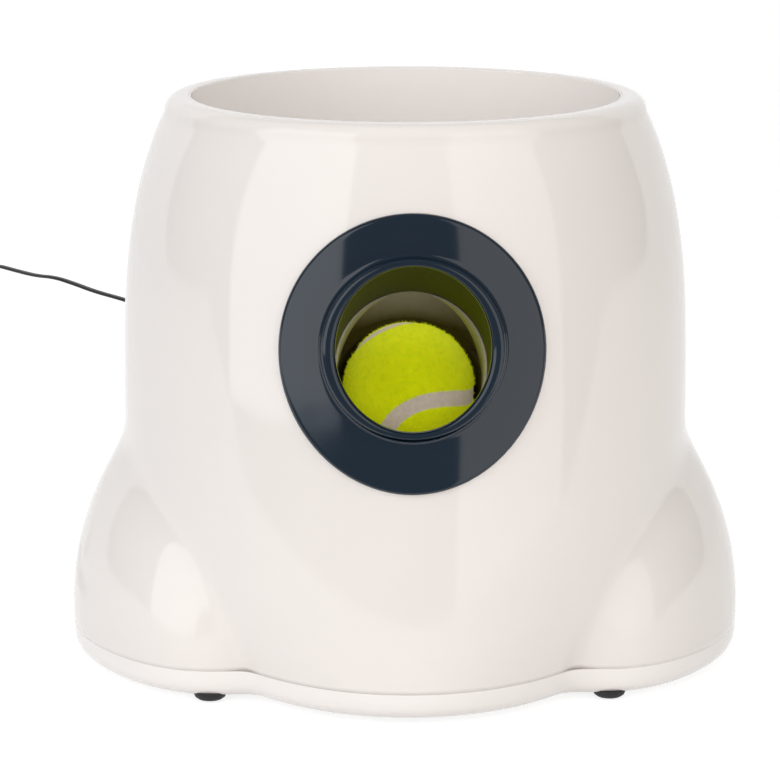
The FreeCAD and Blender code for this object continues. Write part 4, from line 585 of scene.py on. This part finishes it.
hopperPiece = {
    "columns": 192, "radius": 86.5, "wall": 2.0, "lip": 0.65, "lipTop": 230.9, "flange": 228.2,
    "funnelTop": 196.0, "outlet": 169.0, "spoutY": -46.5, "spoutRadius": 28.8, "spoutTop": 176.0,
    "spoutFoot": 150.0, "saddle": 31.0, "innerCuts": (0.3, 7.0, 1.6), "innerSteps": 7,
    "outerCuts": (0.0, 6.0, 0.0), "outerSteps": 5, "spoutRows": 7,
    "wallRows": 12, "wallGaps": (1.0, 8.0),  # rows of the upright wall, and its ends left to the corners
}


def makeHopper(material, spoutMaterial):
    # each row is a circle given by its middle's y, its radius and its height, and the spout's rows come
    # down to the barrel's round back, which is a saddle radius away from the launch line
    p = hopperPiece
    r, w, top, funnelTop, y = p["radius"], p["wall"], p["lipTop"], p["funnelTop"], p["spoutY"]
    spoutIn, spoutOut = p["spoutRadius"], p["spoutRadius"] + w
    inner = softCorners([(0, r + p["lip"], top), (0, r, top), (0, r, funnelTop),
                         (y, spoutIn, p["outlet"]), (y, spoutIn, p["spoutFoot"])],
                        p["innerCuts"], p["innerSteps"])
    height = np.linspace(top - p["wallGaps"][0], funnelTop + p["wallGaps"][1], p["wallRows"])
    wall = np.stack([0 * height, 0 * height + r, height], axis=-1)
    lipRows = p["innerSteps"] + 2  # the lip's outer point and its swept corner
    inner = np.concatenate([inner[:lipRows], wall, inner[lipRows:-1]])
    outer = softCorners([(y, spoutOut, p["spoutFoot"]), (y, spoutOut, p["outlet"] - w),
                         (0, r + w, funnelTop - w), (0, r + w, p["flange"]), (0, r + p["lip"], p["flange"])],
                        p["outerCuts"], p["outerSteps"])[1:]
    angle = np.linspace(0, 2 * math.pi, p["columns"], endpoint=False)[None, :]

    def circles(rows):
        middle, radius, height = rows[:, 0:1], rows[:, 1:2], rows[:, 2:3]
        x = radius * np.cos(angle)
        return np.stack([x, middle + radius * np.sin(angle), np.broadcast_to(height, x.shape)], axis=-1)

    def onBarrel(radius):
        ends = circles(np.array([[y, radius, 0.0]]))[0]
        axisHeight = launchStart[2] - (ends[:, 1] - launchStart[1]) * math.tan(tilt)
        ends[:, 2] = axisHeight + np.sqrt(np.maximum(p["saddle"] ** 2 - ends[:, 0] ** 2, 0)) / math.cos(tilt)
        return ends

    above, foot = circles(inner[-1:])[0], onBarrel(spoutIn)
    spout = above + (foot - above) * np.linspace(0, 1, p["spoutRows"] + 1)[1:, None, None]
    points = np.concatenate([circles(inner), spout, onBarrel(spoutOut)[None], circles(outer)])
    faces = gridFaces(len(points), p["columns"], True, True)[:, ::-1]
    hopper = addPiece("hopperBowl", points * mm, [faces], material)
    hopper.data.materials.append(spoutMaterial)
    inSpout = np.repeat(points[:, 0, 2] < p["spoutTop"], p["columns"])
    hopper.data.polygons.foreach_set("material_index", inSpout.astype(np.int32))
    return hopper


ringPiece = {
    "columns": 256, "halfWidth": 50.7, "halfHeight": 53.1, "height": 146.4, "lift": 2.15, "seat": 0.15,
    "edge": 1.3, "bossRadius": 34.8, "bossHeight": 149.2, "bossBack": -108.4, "beadFront": -118.4,
    "beadSide": -115.6, "beadFlank": 0.85, "beadCrown": 0.8, "boreRadius": 29.2, "collarRadius": 31.4,
    "collarLength": 34.0, "crease": 1.6, "boreRows": 18, "beadRows": 18, "plateRows": 18,
    "sidePlaces": (0.35, 0.7, 1.0), "creaseRows": 6, "rimRows": 7, "underRows": 5,
}


def onDome(x, z, lift):
    # places of the front view, set on the dome's skin grown by lift
    return np.stack([x, -np.sqrt((domeRadius(z) + lift) ** 2 - x ** 2), z], axis=-1)


def makeRing(material, boreMaterial):
    # every row is one loop round the mouth: along the bore, over the bead, down its side, out over the
    # dome and back underneath
    p = ringPiece
    angle = np.linspace(0, 2 * math.pi, p["columns"], endpoint=False)
    cosine, sine = np.cos(angle), np.sin(angle)

    def tiltedLoop(radius, along):
        # a circle about the launch line, with each point its own way back along it
        back = np.multiply.outer(np.broadcast_to(along, angle.shape), launchBack)
        return launchStart + np.outer(cosine, launchRight) * radius + np.outer(sine, launchUp) * radius + back

    def cutAt(radius, y):
        # how far back along the launch line that circle's tube meets the upright plane at y
        return (y - launchStart[1] - radius * sine * math.sin(tilt)) / math.cos(tilt)

    def frontLoop(radius, y):
        # an upright circle about the boss's middle
        height = p["bossHeight"] + radius * sine
        return np.stack([radius * cosine, np.broadcast_to(y, angle.shape), height], axis=-1)

    inEnd, frontEnd = p["collarLength"], cutAt(p["boreRadius"], p["beadSide"])
    along = np.linspace(0, 1, p["boreRows"])
    rows = [tiltedLoop(p["boreRadius"], inEnd + (frontEnd - inEnd) * t) for t in along]
    bore, side = rows[-1], frontLoop(p["bossRadius"], p["beadSide"])
    for t in np.linspace(0, math.pi, p["beadRows"])[1:-1]:  # bead: an arch from the bore's edge to the side
        share = 0.5 - 0.5 * np.sign(math.cos(t)) * abs(math.cos(t)) ** p["beadFlank"]
        loop = bore + (side - bore) * share
        loop[:, 1] = p["beadSide"] - (p["beadSide"] - p["beadFront"]) * math.sin(t) ** p["beadCrown"]
        rows.append(loop)
    rows.append(side)
    base = onDome(side[:, 0], side[:, 2], p["lift"])[:, 1]
    for t in p["sidePlaces"]:  # side, down to the crease
        rows.append(frontLoop(p["bossRadius"], p["beadSide"] + (base - p["crease"] - p["beadSide"]) * t))
    for t in np.linspace(0, math.pi / 2, p["creaseRows"])[1:]:  # crease at the bead's foot
        loop = frontLoop(p["bossRadius"] + p["crease"] * (1 - math.cos(t)), 0)
        loop = onDome(loop[:, 0], loop[:, 2], p["lift"])
        loop[:, 1] -= p["crease"] * (1 - math.sin(t))
        rows.append(loop)
    inner = rows[-1]
    for t in np.linspace(0, 1, p["plateRows"])[1:]:  # plate, out over the dome
        x = inner[:, 0] + ((p["halfWidth"] - p["edge"]) * cosine - inner[:, 0]) * t
        z = inner[:, 2] + (p["height"] + (p["halfHeight"] - p["edge"]) * sine - inner[:, 2]) * t
        rows.append(onDome(x, z, p["lift"]))
    for t in np.linspace(0, math.pi / 2, p["rimRows"])[1:]:  # rounded rim of the plate
        out = p["edge"] * (1 - math.sin(t))
        x, z = (p["halfWidth"] - out) * cosine, p["height"] + (p["halfHeight"] - out) * sine
        rows.append(onDome(x, z, p["lift"] - p["edge"] * (1 - math.cos(t))))
    outerX, outerZ = p["halfWidth"] * cosine, p["height"] + p["halfHeight"] * sine
    innerX, innerZ = p["bossRadius"] * cosine, p["bossHeight"] + p["bossRadius"] * sine
    for t in np.linspace(0, 1, p["underRows"]):  # underside, back in to the boss
        rows.append(onDome(outerX + (innerX - outerX) * t, outerZ + (innerZ - outerZ) * t, p["seat"]))
    rows.append(frontLoop(p["bossRadius"], p["bossBack"]))
    rows.append(tiltedLoop(p["collarRadius"], cutAt(p["collarRadius"], p["bossBack"])))
    rows.append(tiltedLoop(p["collarRadius"], p["collarLength"]))
    faces = gridFaces(len(rows), p["columns"], True, True)
    ring = addPiece("launchRing", np.array(rows) * mm, [faces], material)
    ring.data.materials.append(boreMaterial)
    row = np.arange(len(rows))
    inBore = np.repeat((row < p["boreRows"] - 1) | (row == len(rows) - 1), p["columns"])
    ring.data.polygons.foreach_set("material_index", inBore.astype(np.int32))
    return ring


ballPiece = {
    "radius": 25.75, "place": 67.0, "drop": -2.4, "turn": (-5.1, 115.6, 46.8), "rows": 150, "columns": 300,
    "seamBend": 0.14, "seamHalf": 3.1, "seamDepth": 0.35, "seamSoft": 0.35, "seamSteps": 600,
    "fibres": 9000, "seed": 4, "fibreLength": (0.7, 1.9), "fibreRise": 0.62, "fibreLean": 0.75,
    "fibreBare": 0.95, "fibreClear": 2.0,  # share of the seam left bare, and how far off it fibres count
    "fibreSunk": 0.25, "tipSunk": 0.1, "fibreFoot": (0.12, 0.06, 0.1),  # ahead, behind and aside
}


def seamPoints():
    # a closed curve on the unit ball: x and y are a cosine and a sine with a third harmonic, and z is the
    # sine of the double angle
    b = ballPiece["seamBend"]
    a, t = 1 - b, np.linspace(0, 2 * math.pi, ballPiece["seamSteps"], endpoint=False)
    x, y = a * np.cos(t) + b * np.cos(3 * t), a * np.sin(t) - b * np.sin(3 * t)
    points = np.stack([x, y, 2 * math.sqrt(a * b) * np.sin(2 * t)], axis=-1)
    aboutX, aboutY, aboutZ = [turnAbout(axis, angle) for axis, angle in enumerate(ballPiece["turn"])]
    return points @ (aboutZ @ aboutY @ aboutX).T


def seamDistance(directions):
    # arc length in mm from each direction to the nearest point of the seam
    nearest = np.max(directions @ seamPoints().T, axis=1)
    return np.arccos(np.clip(nearest, -1, 1)) * ballPiece["radius"]


def makeBall(felt):
    # the skin is a ball whose seam band is sunk by a smooth step, and each felt fibre is a three-sided
    # spike rooted in it
    p = ballPiece
    polar = np.linspace(0, math.pi, p["rows"] + 2)[1:-1, None]
    around = np.linspace(0, 2 * math.pi, p["columns"], endpoint=False)[None, :]
    x, y, z = np.sin(polar) * np.cos(around), np.sin(polar) * np.sin(around), np.cos(polar) + 0 * around
    skin = np.concatenate([np.stack([x, y, z], axis=-1).reshape(-1, 3), [(0, 0, 1), (0, 0, -1)]])
    toSeam = seamDistance(skin)
    sunk = 1 / (1 + np.exp((toSeam - p["seamHalf"]) / p["seamSoft"]))
    points = skin * (p["radius"] - p["seamDepth"] * sunk)[:, None]
    faces = tubeFaces(p["rows"], p["columns"], flip=True)
    random = np.random.default_rng(p["seed"])
    root = unit(random.normal(size=(p["fibres"], 3)))
    fibreSeam = seamDistance(root)
    clear = fibreSeam > p["seamHalf"] * p["fibreBare"]
    root, fibreSeam = root[clear], fibreSeam[clear]
    number = len(root)
    lean = unit(np.cross(root, random.normal(size=(number, 3))))
    length = random.uniform(*p["fibreLength"], number)
    tipRadius = p["radius"] - p["tipSunk"] + length * p["fibreRise"]
    tip = root * tipRadius[:, None] + lean * (length * p["fibreLean"])[:, None]
    side = unit(np.cross(root, lean))
    foot = root * (p["radius"] - p["fibreSunk"])
    ahead, behind, aside = p["fibreFoot"]
    corners = [foot + lean * ahead, foot - lean * behind + side * aside, foot - lean * behind - side * aside]
    spikes = np.stack(corners + [tip], axis=1).reshape(-1, 3)
    at = len(points) + 4 * np.arange(number)[:, None]
    pattern = np.array([[0, 1, 3], [1, 2, 3], [2, 0, 3], [0, 2, 1]])
    faces.append((at[:, None] + pattern[None]).reshape(-1, 3))
    middle = launchStart + launchBack * p["place"] + launchUp * p["drop"]
    ball = addPiece("ball", (np.concatenate([points, spikes]) + middle) * mm, faces, felt, body="ball")
    distance = np.concatenate([toSeam, np.repeat(fibreSeam + p["fibreClear"], 4)])
    seam = ball.data.attributes.new("toSeam", "FLOAT", "POINT")
    seam.data.foreach_set("value", distance.astype(np.float32))
    return ball


feltFinish = {
    "colour": (224, 234, 4), "clumps": (420.0, 4.0, 0.65), "nap": (1500.0, 3.0, 0.7),
    "clumpShades": [(0.3, 0.88), (0.5, 1.0), (0.72, 1.08)],  # place on the noise and share of the colour
    "seamColour": (216, 202, 188), "specks": (600.0, 3.0), "speckShades": [(0.3, 0.86), (0.7, 1.0)],
    "frays": (900.0, 2.0), "frayReach": 0.9, "edge": (0.2, 0.75),  # mm past the seam
    "napHeight": 0.0005, "napStrength": 0.8,
    # the emission strength is a painted glow, which keeps the ball bright deep in the mouth
    "shader": {"Roughness": 0.95, "Specular IOR Level": 0.15, "Sheen Weight": 0.35, "Sheen Roughness": 0.6,
               "Sheen Tint": (0.9, 1.0, 0.3, 1.0), "Emission Strength": 0.26},
}


def feltCloth(name):
    # yellow nap with clumps, and the bare seam read from the distance kept on the mesh; both give off a
    # painted glow of their own colour
    p = feltFinish
    material, tree, shader, place = startMaterial(name)
    colour, seamColour = linear(p["colour"]), linear(p["seamColour"])
    clumps = addNoise(tree, place, *p["clumps"])
    nap = addRamp(tree, clumps, [(where, shade(colour, share)) for where, share in p["clumpShades"]])
    specks = addNoise(tree, place, *p["specks"])
    rubber = addRamp(tree, specks, [(where, shade(seamColour, share)) for where, share in p["speckShades"]])
    attribute = tree.nodes.new("ShaderNodeAttribute")
    attribute.attribute_name = "toSeam"
    frayed = addScaled(tree, addNoise(tree, place, *p["frays"]), p["frayReach"], attribute.outputs["Fac"])
    share = addRange(tree, frayed, 0.0, 1.0, *[ballPiece["seamHalf"] + edge for edge in p["edge"]])
    mix = tree.nodes.new("ShaderNodeMix")
    mix.data_type = "RGBA"
    tree.links.new(share, mix.inputs["Factor"])
    tree.links.new(rubber, mix.inputs["A"])
    tree.links.new(nap, mix.inputs["B"])
    tree.links.new(mix.outputs["Result"], shader.inputs["Base Color"])
    # painted light: the felt's and seam's colour is also sent out as a glow
    tree.links.new(mix.outputs["Result"], shader.inputs["Emission Color"])
    setSockets(shader, p["shader"])
    addBump(tree, shader, addNoise(tree, place, *p["nap"]), p["napHeight"], p["napStrength"])
    return material


springPiece = {
    "radius": 9.5, "wire": 0.8, "turns": 7, "steps": 48, "around": 12, "travel": 32.98,
    "start": 101.2, "end": 147.4, "plate": 148.3,  # back along the launch line
}


def makeSpring(material):
    # a circle of wire carried along a helix about the launch line, with both ends closed
    p = springPiece
    turn = np.linspace(0, 2 * math.pi * p["turns"], p["turns"] * p["steps"] + 1)
    climb = math.atan((p["end"] - p["start"]) / (2 * math.pi * p["turns"] * p["radius"]))
    outward = np.outer(np.cos(turn), launchUp) + np.outer(np.sin(turn), launchRight)
    onward = np.outer(np.sin(turn), launchUp) - np.outer(np.cos(turn), launchRight)
    along = np.linspace(p["start"], p["end"], len(turn))
    centre = launchStart + np.outer(along, launchBack) + outward * p["radius"]
    sideways = launchBack[None] * math.cos(climb) + onward * math.sin(climb)
    around = np.linspace(0, 2 * math.pi, p["around"], endpoint=False)[None, :, None]
    circle = outward[:, None] * np.cos(around) + sideways[:, None] * np.sin(around)
    rings = centre[:, None] + p["wire"] * circle
    points = np.concatenate([rings.reshape(-1, 3), centre[[0, -1]]])
    spring = addPiece("launchSpring", points * mm, tubeFaces(len(turn), p["around"], flip=True), material)
    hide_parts("launch_spring")
    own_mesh(spring)


bodyShell = makeBodyShell(creamGloss)
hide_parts("body_shell")
hopperBowl = makeHopper(paintedLightCream, spoutPaintedShade)
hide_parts("hopper_bowl")
launchRing = makeRing(navyGloss, navyBorePaintedShade)
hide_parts("launch_ring")
print("shell, bowl and ring made")

ball = makeBall(feltCloth("ballFelt"))
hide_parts("tennis_ball")
print("ball made")


boardFinish = {
    "tracks": {"Scale": 160.0, "Mortar Size": 0.09, "Color1": linear((14, 72, 38)),
               "Color2": linear((16, 80, 42)), "Mortar": linear((44, 122, 62))},
    "trackHeight": 0.00004, "trackGrain": 900.0, "trackGloss": (0.28, 0.42),
    "partRun": (0.04, 0.10),  # metres along the board, and each part's colour from its place on
    "parts": [(0.0, (22, 92, 60)), (0.26, (28, 44, 92)), (0.48, (34, 34, 38)), (0.6, (30, 31, 34)),
              (1.0, (40, 41, 45))],
    "partGrain": 1400.0, "partGrainHeight": 0.00003, "partGloss": (0.3, 0.5),
}


def circuitBoard(name):
    # green lacquer in two shades, with lighter tracks
    p = boardFinish
    material, tree, shader, place = startMaterial(name)
    tracks = tree.nodes.new("ShaderNodeTexBrick")
    setSockets(tracks, p["tracks"])
    tree.links.new(place, tracks.inputs["Vector"])
    tree.links.new(tracks.outputs["Color"], shader.inputs["Base Color"])
    addGloss(tree, shader, addNoise(tree, place, p["trackGrain"]), p["trackGloss"])
    addBump(tree, shader, tracks.outputs["Fac"], p["trackHeight"])
    return material


def boardParts(name):
    # blue and black sleeves, a green terminal block and dark chips, told apart by their place along the board
    p = boardFinish
    material, tree, shader, place = startMaterial(name)
    along = addAlong(tree, place, "X", *p["partRun"])
    colours = addRamp(tree, along, [(where, linear(colour)) for where, colour in p["parts"]])
    colours.node.color_ramp.interpolation = "CONSTANT"
    tree.links.new(colours, shader.inputs["Base Color"])
    fine = addNoise(tree, place, p["partGrain"])
    addGloss(tree, shader, fine, p["partGloss"])
    addBump(tree, shader, fine, p["partGrainHeight"])
    return material


def tintedLens(name, colour, clouds, shadow):
    # clear lacquer over a clouded colour, unlit
    material, tree, shader, place = startMaterial(name)
    colour = linear(colour)
    addTint(tree, shader, addNoise(tree, place, clouds), colour, shadow)
    setSockets(shader, {"Roughness": 0.15, "Coat Weight": 0.5,
                        "Emission Color": colour, "Emission Strength": 0.0})
    return material


plasticKinds = {  # colour, roughness, drift of the colour, height of the grain in metres and its scale
    "blackRubber": ((24, 24, 25), 0.62, 0.12, 0.00004, 1400.0),
    "padRubber": ((40, 40, 41), 0.75, 0.1, 0.00006, 900.0),
    "whiteAcetal": ((232, 232, 226), 0.35, 0.03, 0.00001, 1500.0),
    "greyMoulding": ((92, 95, 100), 0.5, 0.05, 0.00003, 1100.0),
    "darkMoulding": ((34, 35, 38), 0.45, 0.08, 0.00003, 1200.0),
    "panelGloss": ((24, 38, 55), 0.2, 0.05, 0.000006, 2000.0),
    "buttonSoft": ((206, 207, 206), 0.48, 0.03, 0.00002, 1500.0),
    "adapterBlack": ((26, 26, 28), 0.52, 0.08, 0.00006, 1300.0),
}
metalKinds = {  # colour, roughness, stretch of the lines and their scale
    "turnedBrass": ((214, 178, 104), 0.28, (1, 1, 1), 900.0),
    "springSteel": ((178, 180, 184), 0.3, (1, 1, 1), 500.0),
    "shaftSteel": ((188, 190, 194), 0.22, (0.05, 1, 1), 900.0),
    "zincScrews": ((160, 162, 166), 0.34, (1, 1, 1), 900.0),
    "motorCan": ((172, 174, 178), 0.32, (0.05, 1, 1), 900.0),
    "contactStrip": ((200, 198, 188), 0.3, (1, 1, 1), 900.0),
    "plugPins": ((206, 190, 150), 0.24, (1, 1, 0.05), 900.0),
}
finishes = {
    "paintedLightCream": paintedLightCream,
    "greenBoard": circuitBoard("greenBoard"),
    "partSleeves": boardParts("partSleeves"),
    "lensGreen": tintedLens("lensGreen", (60, 170, 90), clouds=700.0, shadow=0.85),
    # painted shade: the barrel's beige darkens to olive further back
    "creamBarrelPaintedShade": paintedShadePlastic("creamBarrelPaintedShade", (214, 206, 180), (64, 56, 28), 0.55, "Y", -0.086, -0.052),
}
for name, kind in plasticKinds.items():
    finishes[name] = mouldedPlastic(name, *kind)
for name, kind in metalKinds.items():
    finishes[name] = turnedMetal(name, *kind)
makeSpring(finishes["springSteel"])
print("spring wound")

nodesOfFinish = {
    "paintedLightCream": ["base_cover", "battery_door"],
    "creamBarrelPaintedShade": ["launch_barrel", "barrel_end_plate"],
    "blackRubber": ["foot_front_left", "foot_front_right", "foot_rear_left", "foot_rear_right",
                    "dc_plug", "adapter_relief"],
    "padRubber": ["striker_pad"],
    "whiteAcetal": ["striker_head", "plunger_rack", "sector_gear", "second_gear", "first_gear"],
    "greyMoulding": ["gearbox_plate_left", "gearbox_plate_right", "gearbox_spacers", "rack_guide",
                     "battery_tray"],
    "darkMoulding": ["switches_and_lamps", "ball_sensor", "dc_jack", "cord_tie"],
    "panelGloss": ["control_panel"],
    "buttonSoft": ["power_button", "distance_button"],
    "lensGreen": ["indicator_lenses"],
    "adapterBlack": ["wall_adapter"],
    "turnedBrass": ["rod_bush", "motor_pinion"],
    "shaftSteel": ["sector_shaft", "second_shaft", "first_shaft"],
    "zincScrews": ["base_screws", "gearbox_screws", "board_screws", "jack_nut"],
    "motorCan": ["motor"],
    "contactStrip": ["battery_contacts"],
    "plugPins": ["adapter_pins"],
    "greenBoard": ["main_board", "switch_board"],
    "partSleeves": ["board_components"],
}
for finish, nodeNames in nodesOfFinish.items():
    for nodeName in nodeNames:
        slots = nodes[nodeName].data.materials
        slots.clear()
        slots.append(finishes[finish])
for darkPiece in (lead, nodes["wall_adapter"], nodes["adapter_relief"], nodes["cord_tie"]):
    darkPiece.visible_glossy = False  # keeps the coiled lead and its adapter out of the gloss of the body
print("finishes on the carried-over parts")


studio = {  # metres
    "floorWide": 4.0, "floorFront": -0.24, "floorBack": 1.6, "bend": 0.8, "wallTop": 2.6,
    "bendRows": 24, "columns": 5, "overhead": 0.5,  # a softbox nearer to the middle than this faces down
    "floorColour": (240, 240, 240), "shownColour": (174, 174, 174), "floorLift": 0.8, "fill": 0.28,
    # name, degrees round from the front, distance, height of the middle, width, height, watts, colour and
    # whether reflections show it
    "softboxes": [
        ("leftSoftbox", -49.5, 1.35, 0.70, 1.20, 1.7, 11.6, (0.98, 0.99, 1.0), True),
        ("rightSoftbox", 40.2, 1.35, 0.50, 1.05, 2.1, 8.7, (1.0, 0.965, 0.915), True),
        ("topSoftbox", 180.0, 0.15, 1.75, 1.30, 1.0, 8.2, (1.0, 1.0, 1.0), False),
        ("frontFill", 2.0, 1.75, 0.45, 0.50, 0.5, 5.2, (1.0, 0.98, 0.96), False),
    ],
}


def floorPaint():
    # lamps fall on plain paint; views and reflections show the lifted paint instead; and seen from behind
    # or below, the floor and backdrop let the view through
    s = studio
    material = bpy.data.materials.new("studioFloor")
    material.use_nodes = True
    tree = material.node_tree
    tree.nodes.clear()
    kinds = {
        "paint": "BsdfDiffuse", "shown": "BsdfDiffuse", "lift": "Emission", "bright": "AddShader",
        "rays": "LightPath", "seen": "Math", "anySeen": "Math", "front": "MixShader", "sides": "NewGeometry",
        "behind": "Math", "clear": "BsdfTransparent", "whole": "MixShader", "out": "OutputMaterial",
    }
    n = {name: tree.nodes.new("ShaderNode" + kind) for name, kind in kinds.items()}
    n["paint"].inputs["Color"].default_value = linear(s["floorColour"])
    n["shown"].inputs["Color"].default_value = linear(s["shownColour"])
    n["lift"].inputs["Strength"].default_value = s["floorLift"]
    n["seen"].operation = "MAXIMUM"
    n["anySeen"].operation = "MAXIMUM"
    n["behind"].operation = "MULTIPLY"
    links = [
        ("rays", "Is Camera Ray", "seen", 0), ("rays", "Is Glossy Ray", "seen", 1),
        ("seen", 0, "anySeen", 0), ("rays", "Is Transmission Ray", "anySeen", 1),
        ("shown", 0, "bright", 0), ("lift", 0, "bright", 1),
        ("anySeen", 0, "front", 0), ("paint", 0, "front", 1), ("bright", 0, "front", 2),
        ("sides", "Backfacing", "behind", 0), ("rays", "Is Camera Ray", "behind", 1),
        ("behind", 0, "whole", 0), ("front", 0, "whole", 1), ("clear", 0, "whole", 2),
        ("whole", 0, "out", "Surface"),
    ]
    for source, output, target, slot in links:
        tree.links.new(n[source].outputs[output], n[target].inputs[slot])
    return material


def makeFloor():
    # a floor that bends up into a backdrop: a straight run, a quarter turn and a straight wall
    s = studio
    turn = np.linspace(0, math.pi / 2, s["bendRows"])
    bendY, bendZ = s["floorBack"] + s["bend"] * np.sin(turn), s["bend"] * (1 - np.cos(turn))
    y = np.concatenate([[s["floorFront"]], bendY, [bendY[-1]]])
    z = np.concatenate([[0.0], bendZ, [s["wallTop"]]])
    x, y = np.meshgrid(np.linspace(-s["floorWide"], s["floorWide"], s["columns"]), y)
    points = np.stack([x, y, np.broadcast_to(z[:, None], x.shape)], axis=-1)
    floor = addPiece("studioFloor", points, [gridFaces(*x.shape)], floorPaint(), body=None)


def makeWorld():
    # an even grey fill; the floor and backdrop close the view
    world = bpy.data.worlds.new("studioWorld")
    bpy.context.scene.world = world
    world.use_nodes = True
    fill = world.node_tree.nodes["Background"]
    fill.inputs["Color"].default_value = (1.0, 1.0, 1.0, 1.0)
    fill.inputs["Strength"].default_value = studio["fill"]


def makeSoftbox(name, degrees, distance, height, width, tall, watts, colour, reflected):
    # a flat lamp that stands upright and faces the body, or lies over it and faces down
    data = bpy.data.lights.new(name, "AREA")
    data.shape = "RECTANGLE"
    data.size, data.size_y, data.energy, data.color = width, tall, watts, colour
    lamp = bpy.data.objects.new(name, data)
    turn = math.radians(degrees)
    lamp.location = (math.sin(turn) * distance, -math.cos(turn) * distance, height)
    lamp.rotation_euler = (math.radians(90) if distance > studio["overhead"] else 0.0, 0.0, turn)
    lamp.visible_camera = False
    lamp.visible_glossy = reflected
    bpy.context.scene.collection.objects.link(lamp)


makeFloor()
makeWorld()
for box in studio["softboxes"]:
    makeSoftbox(*box)
print("studio lit")
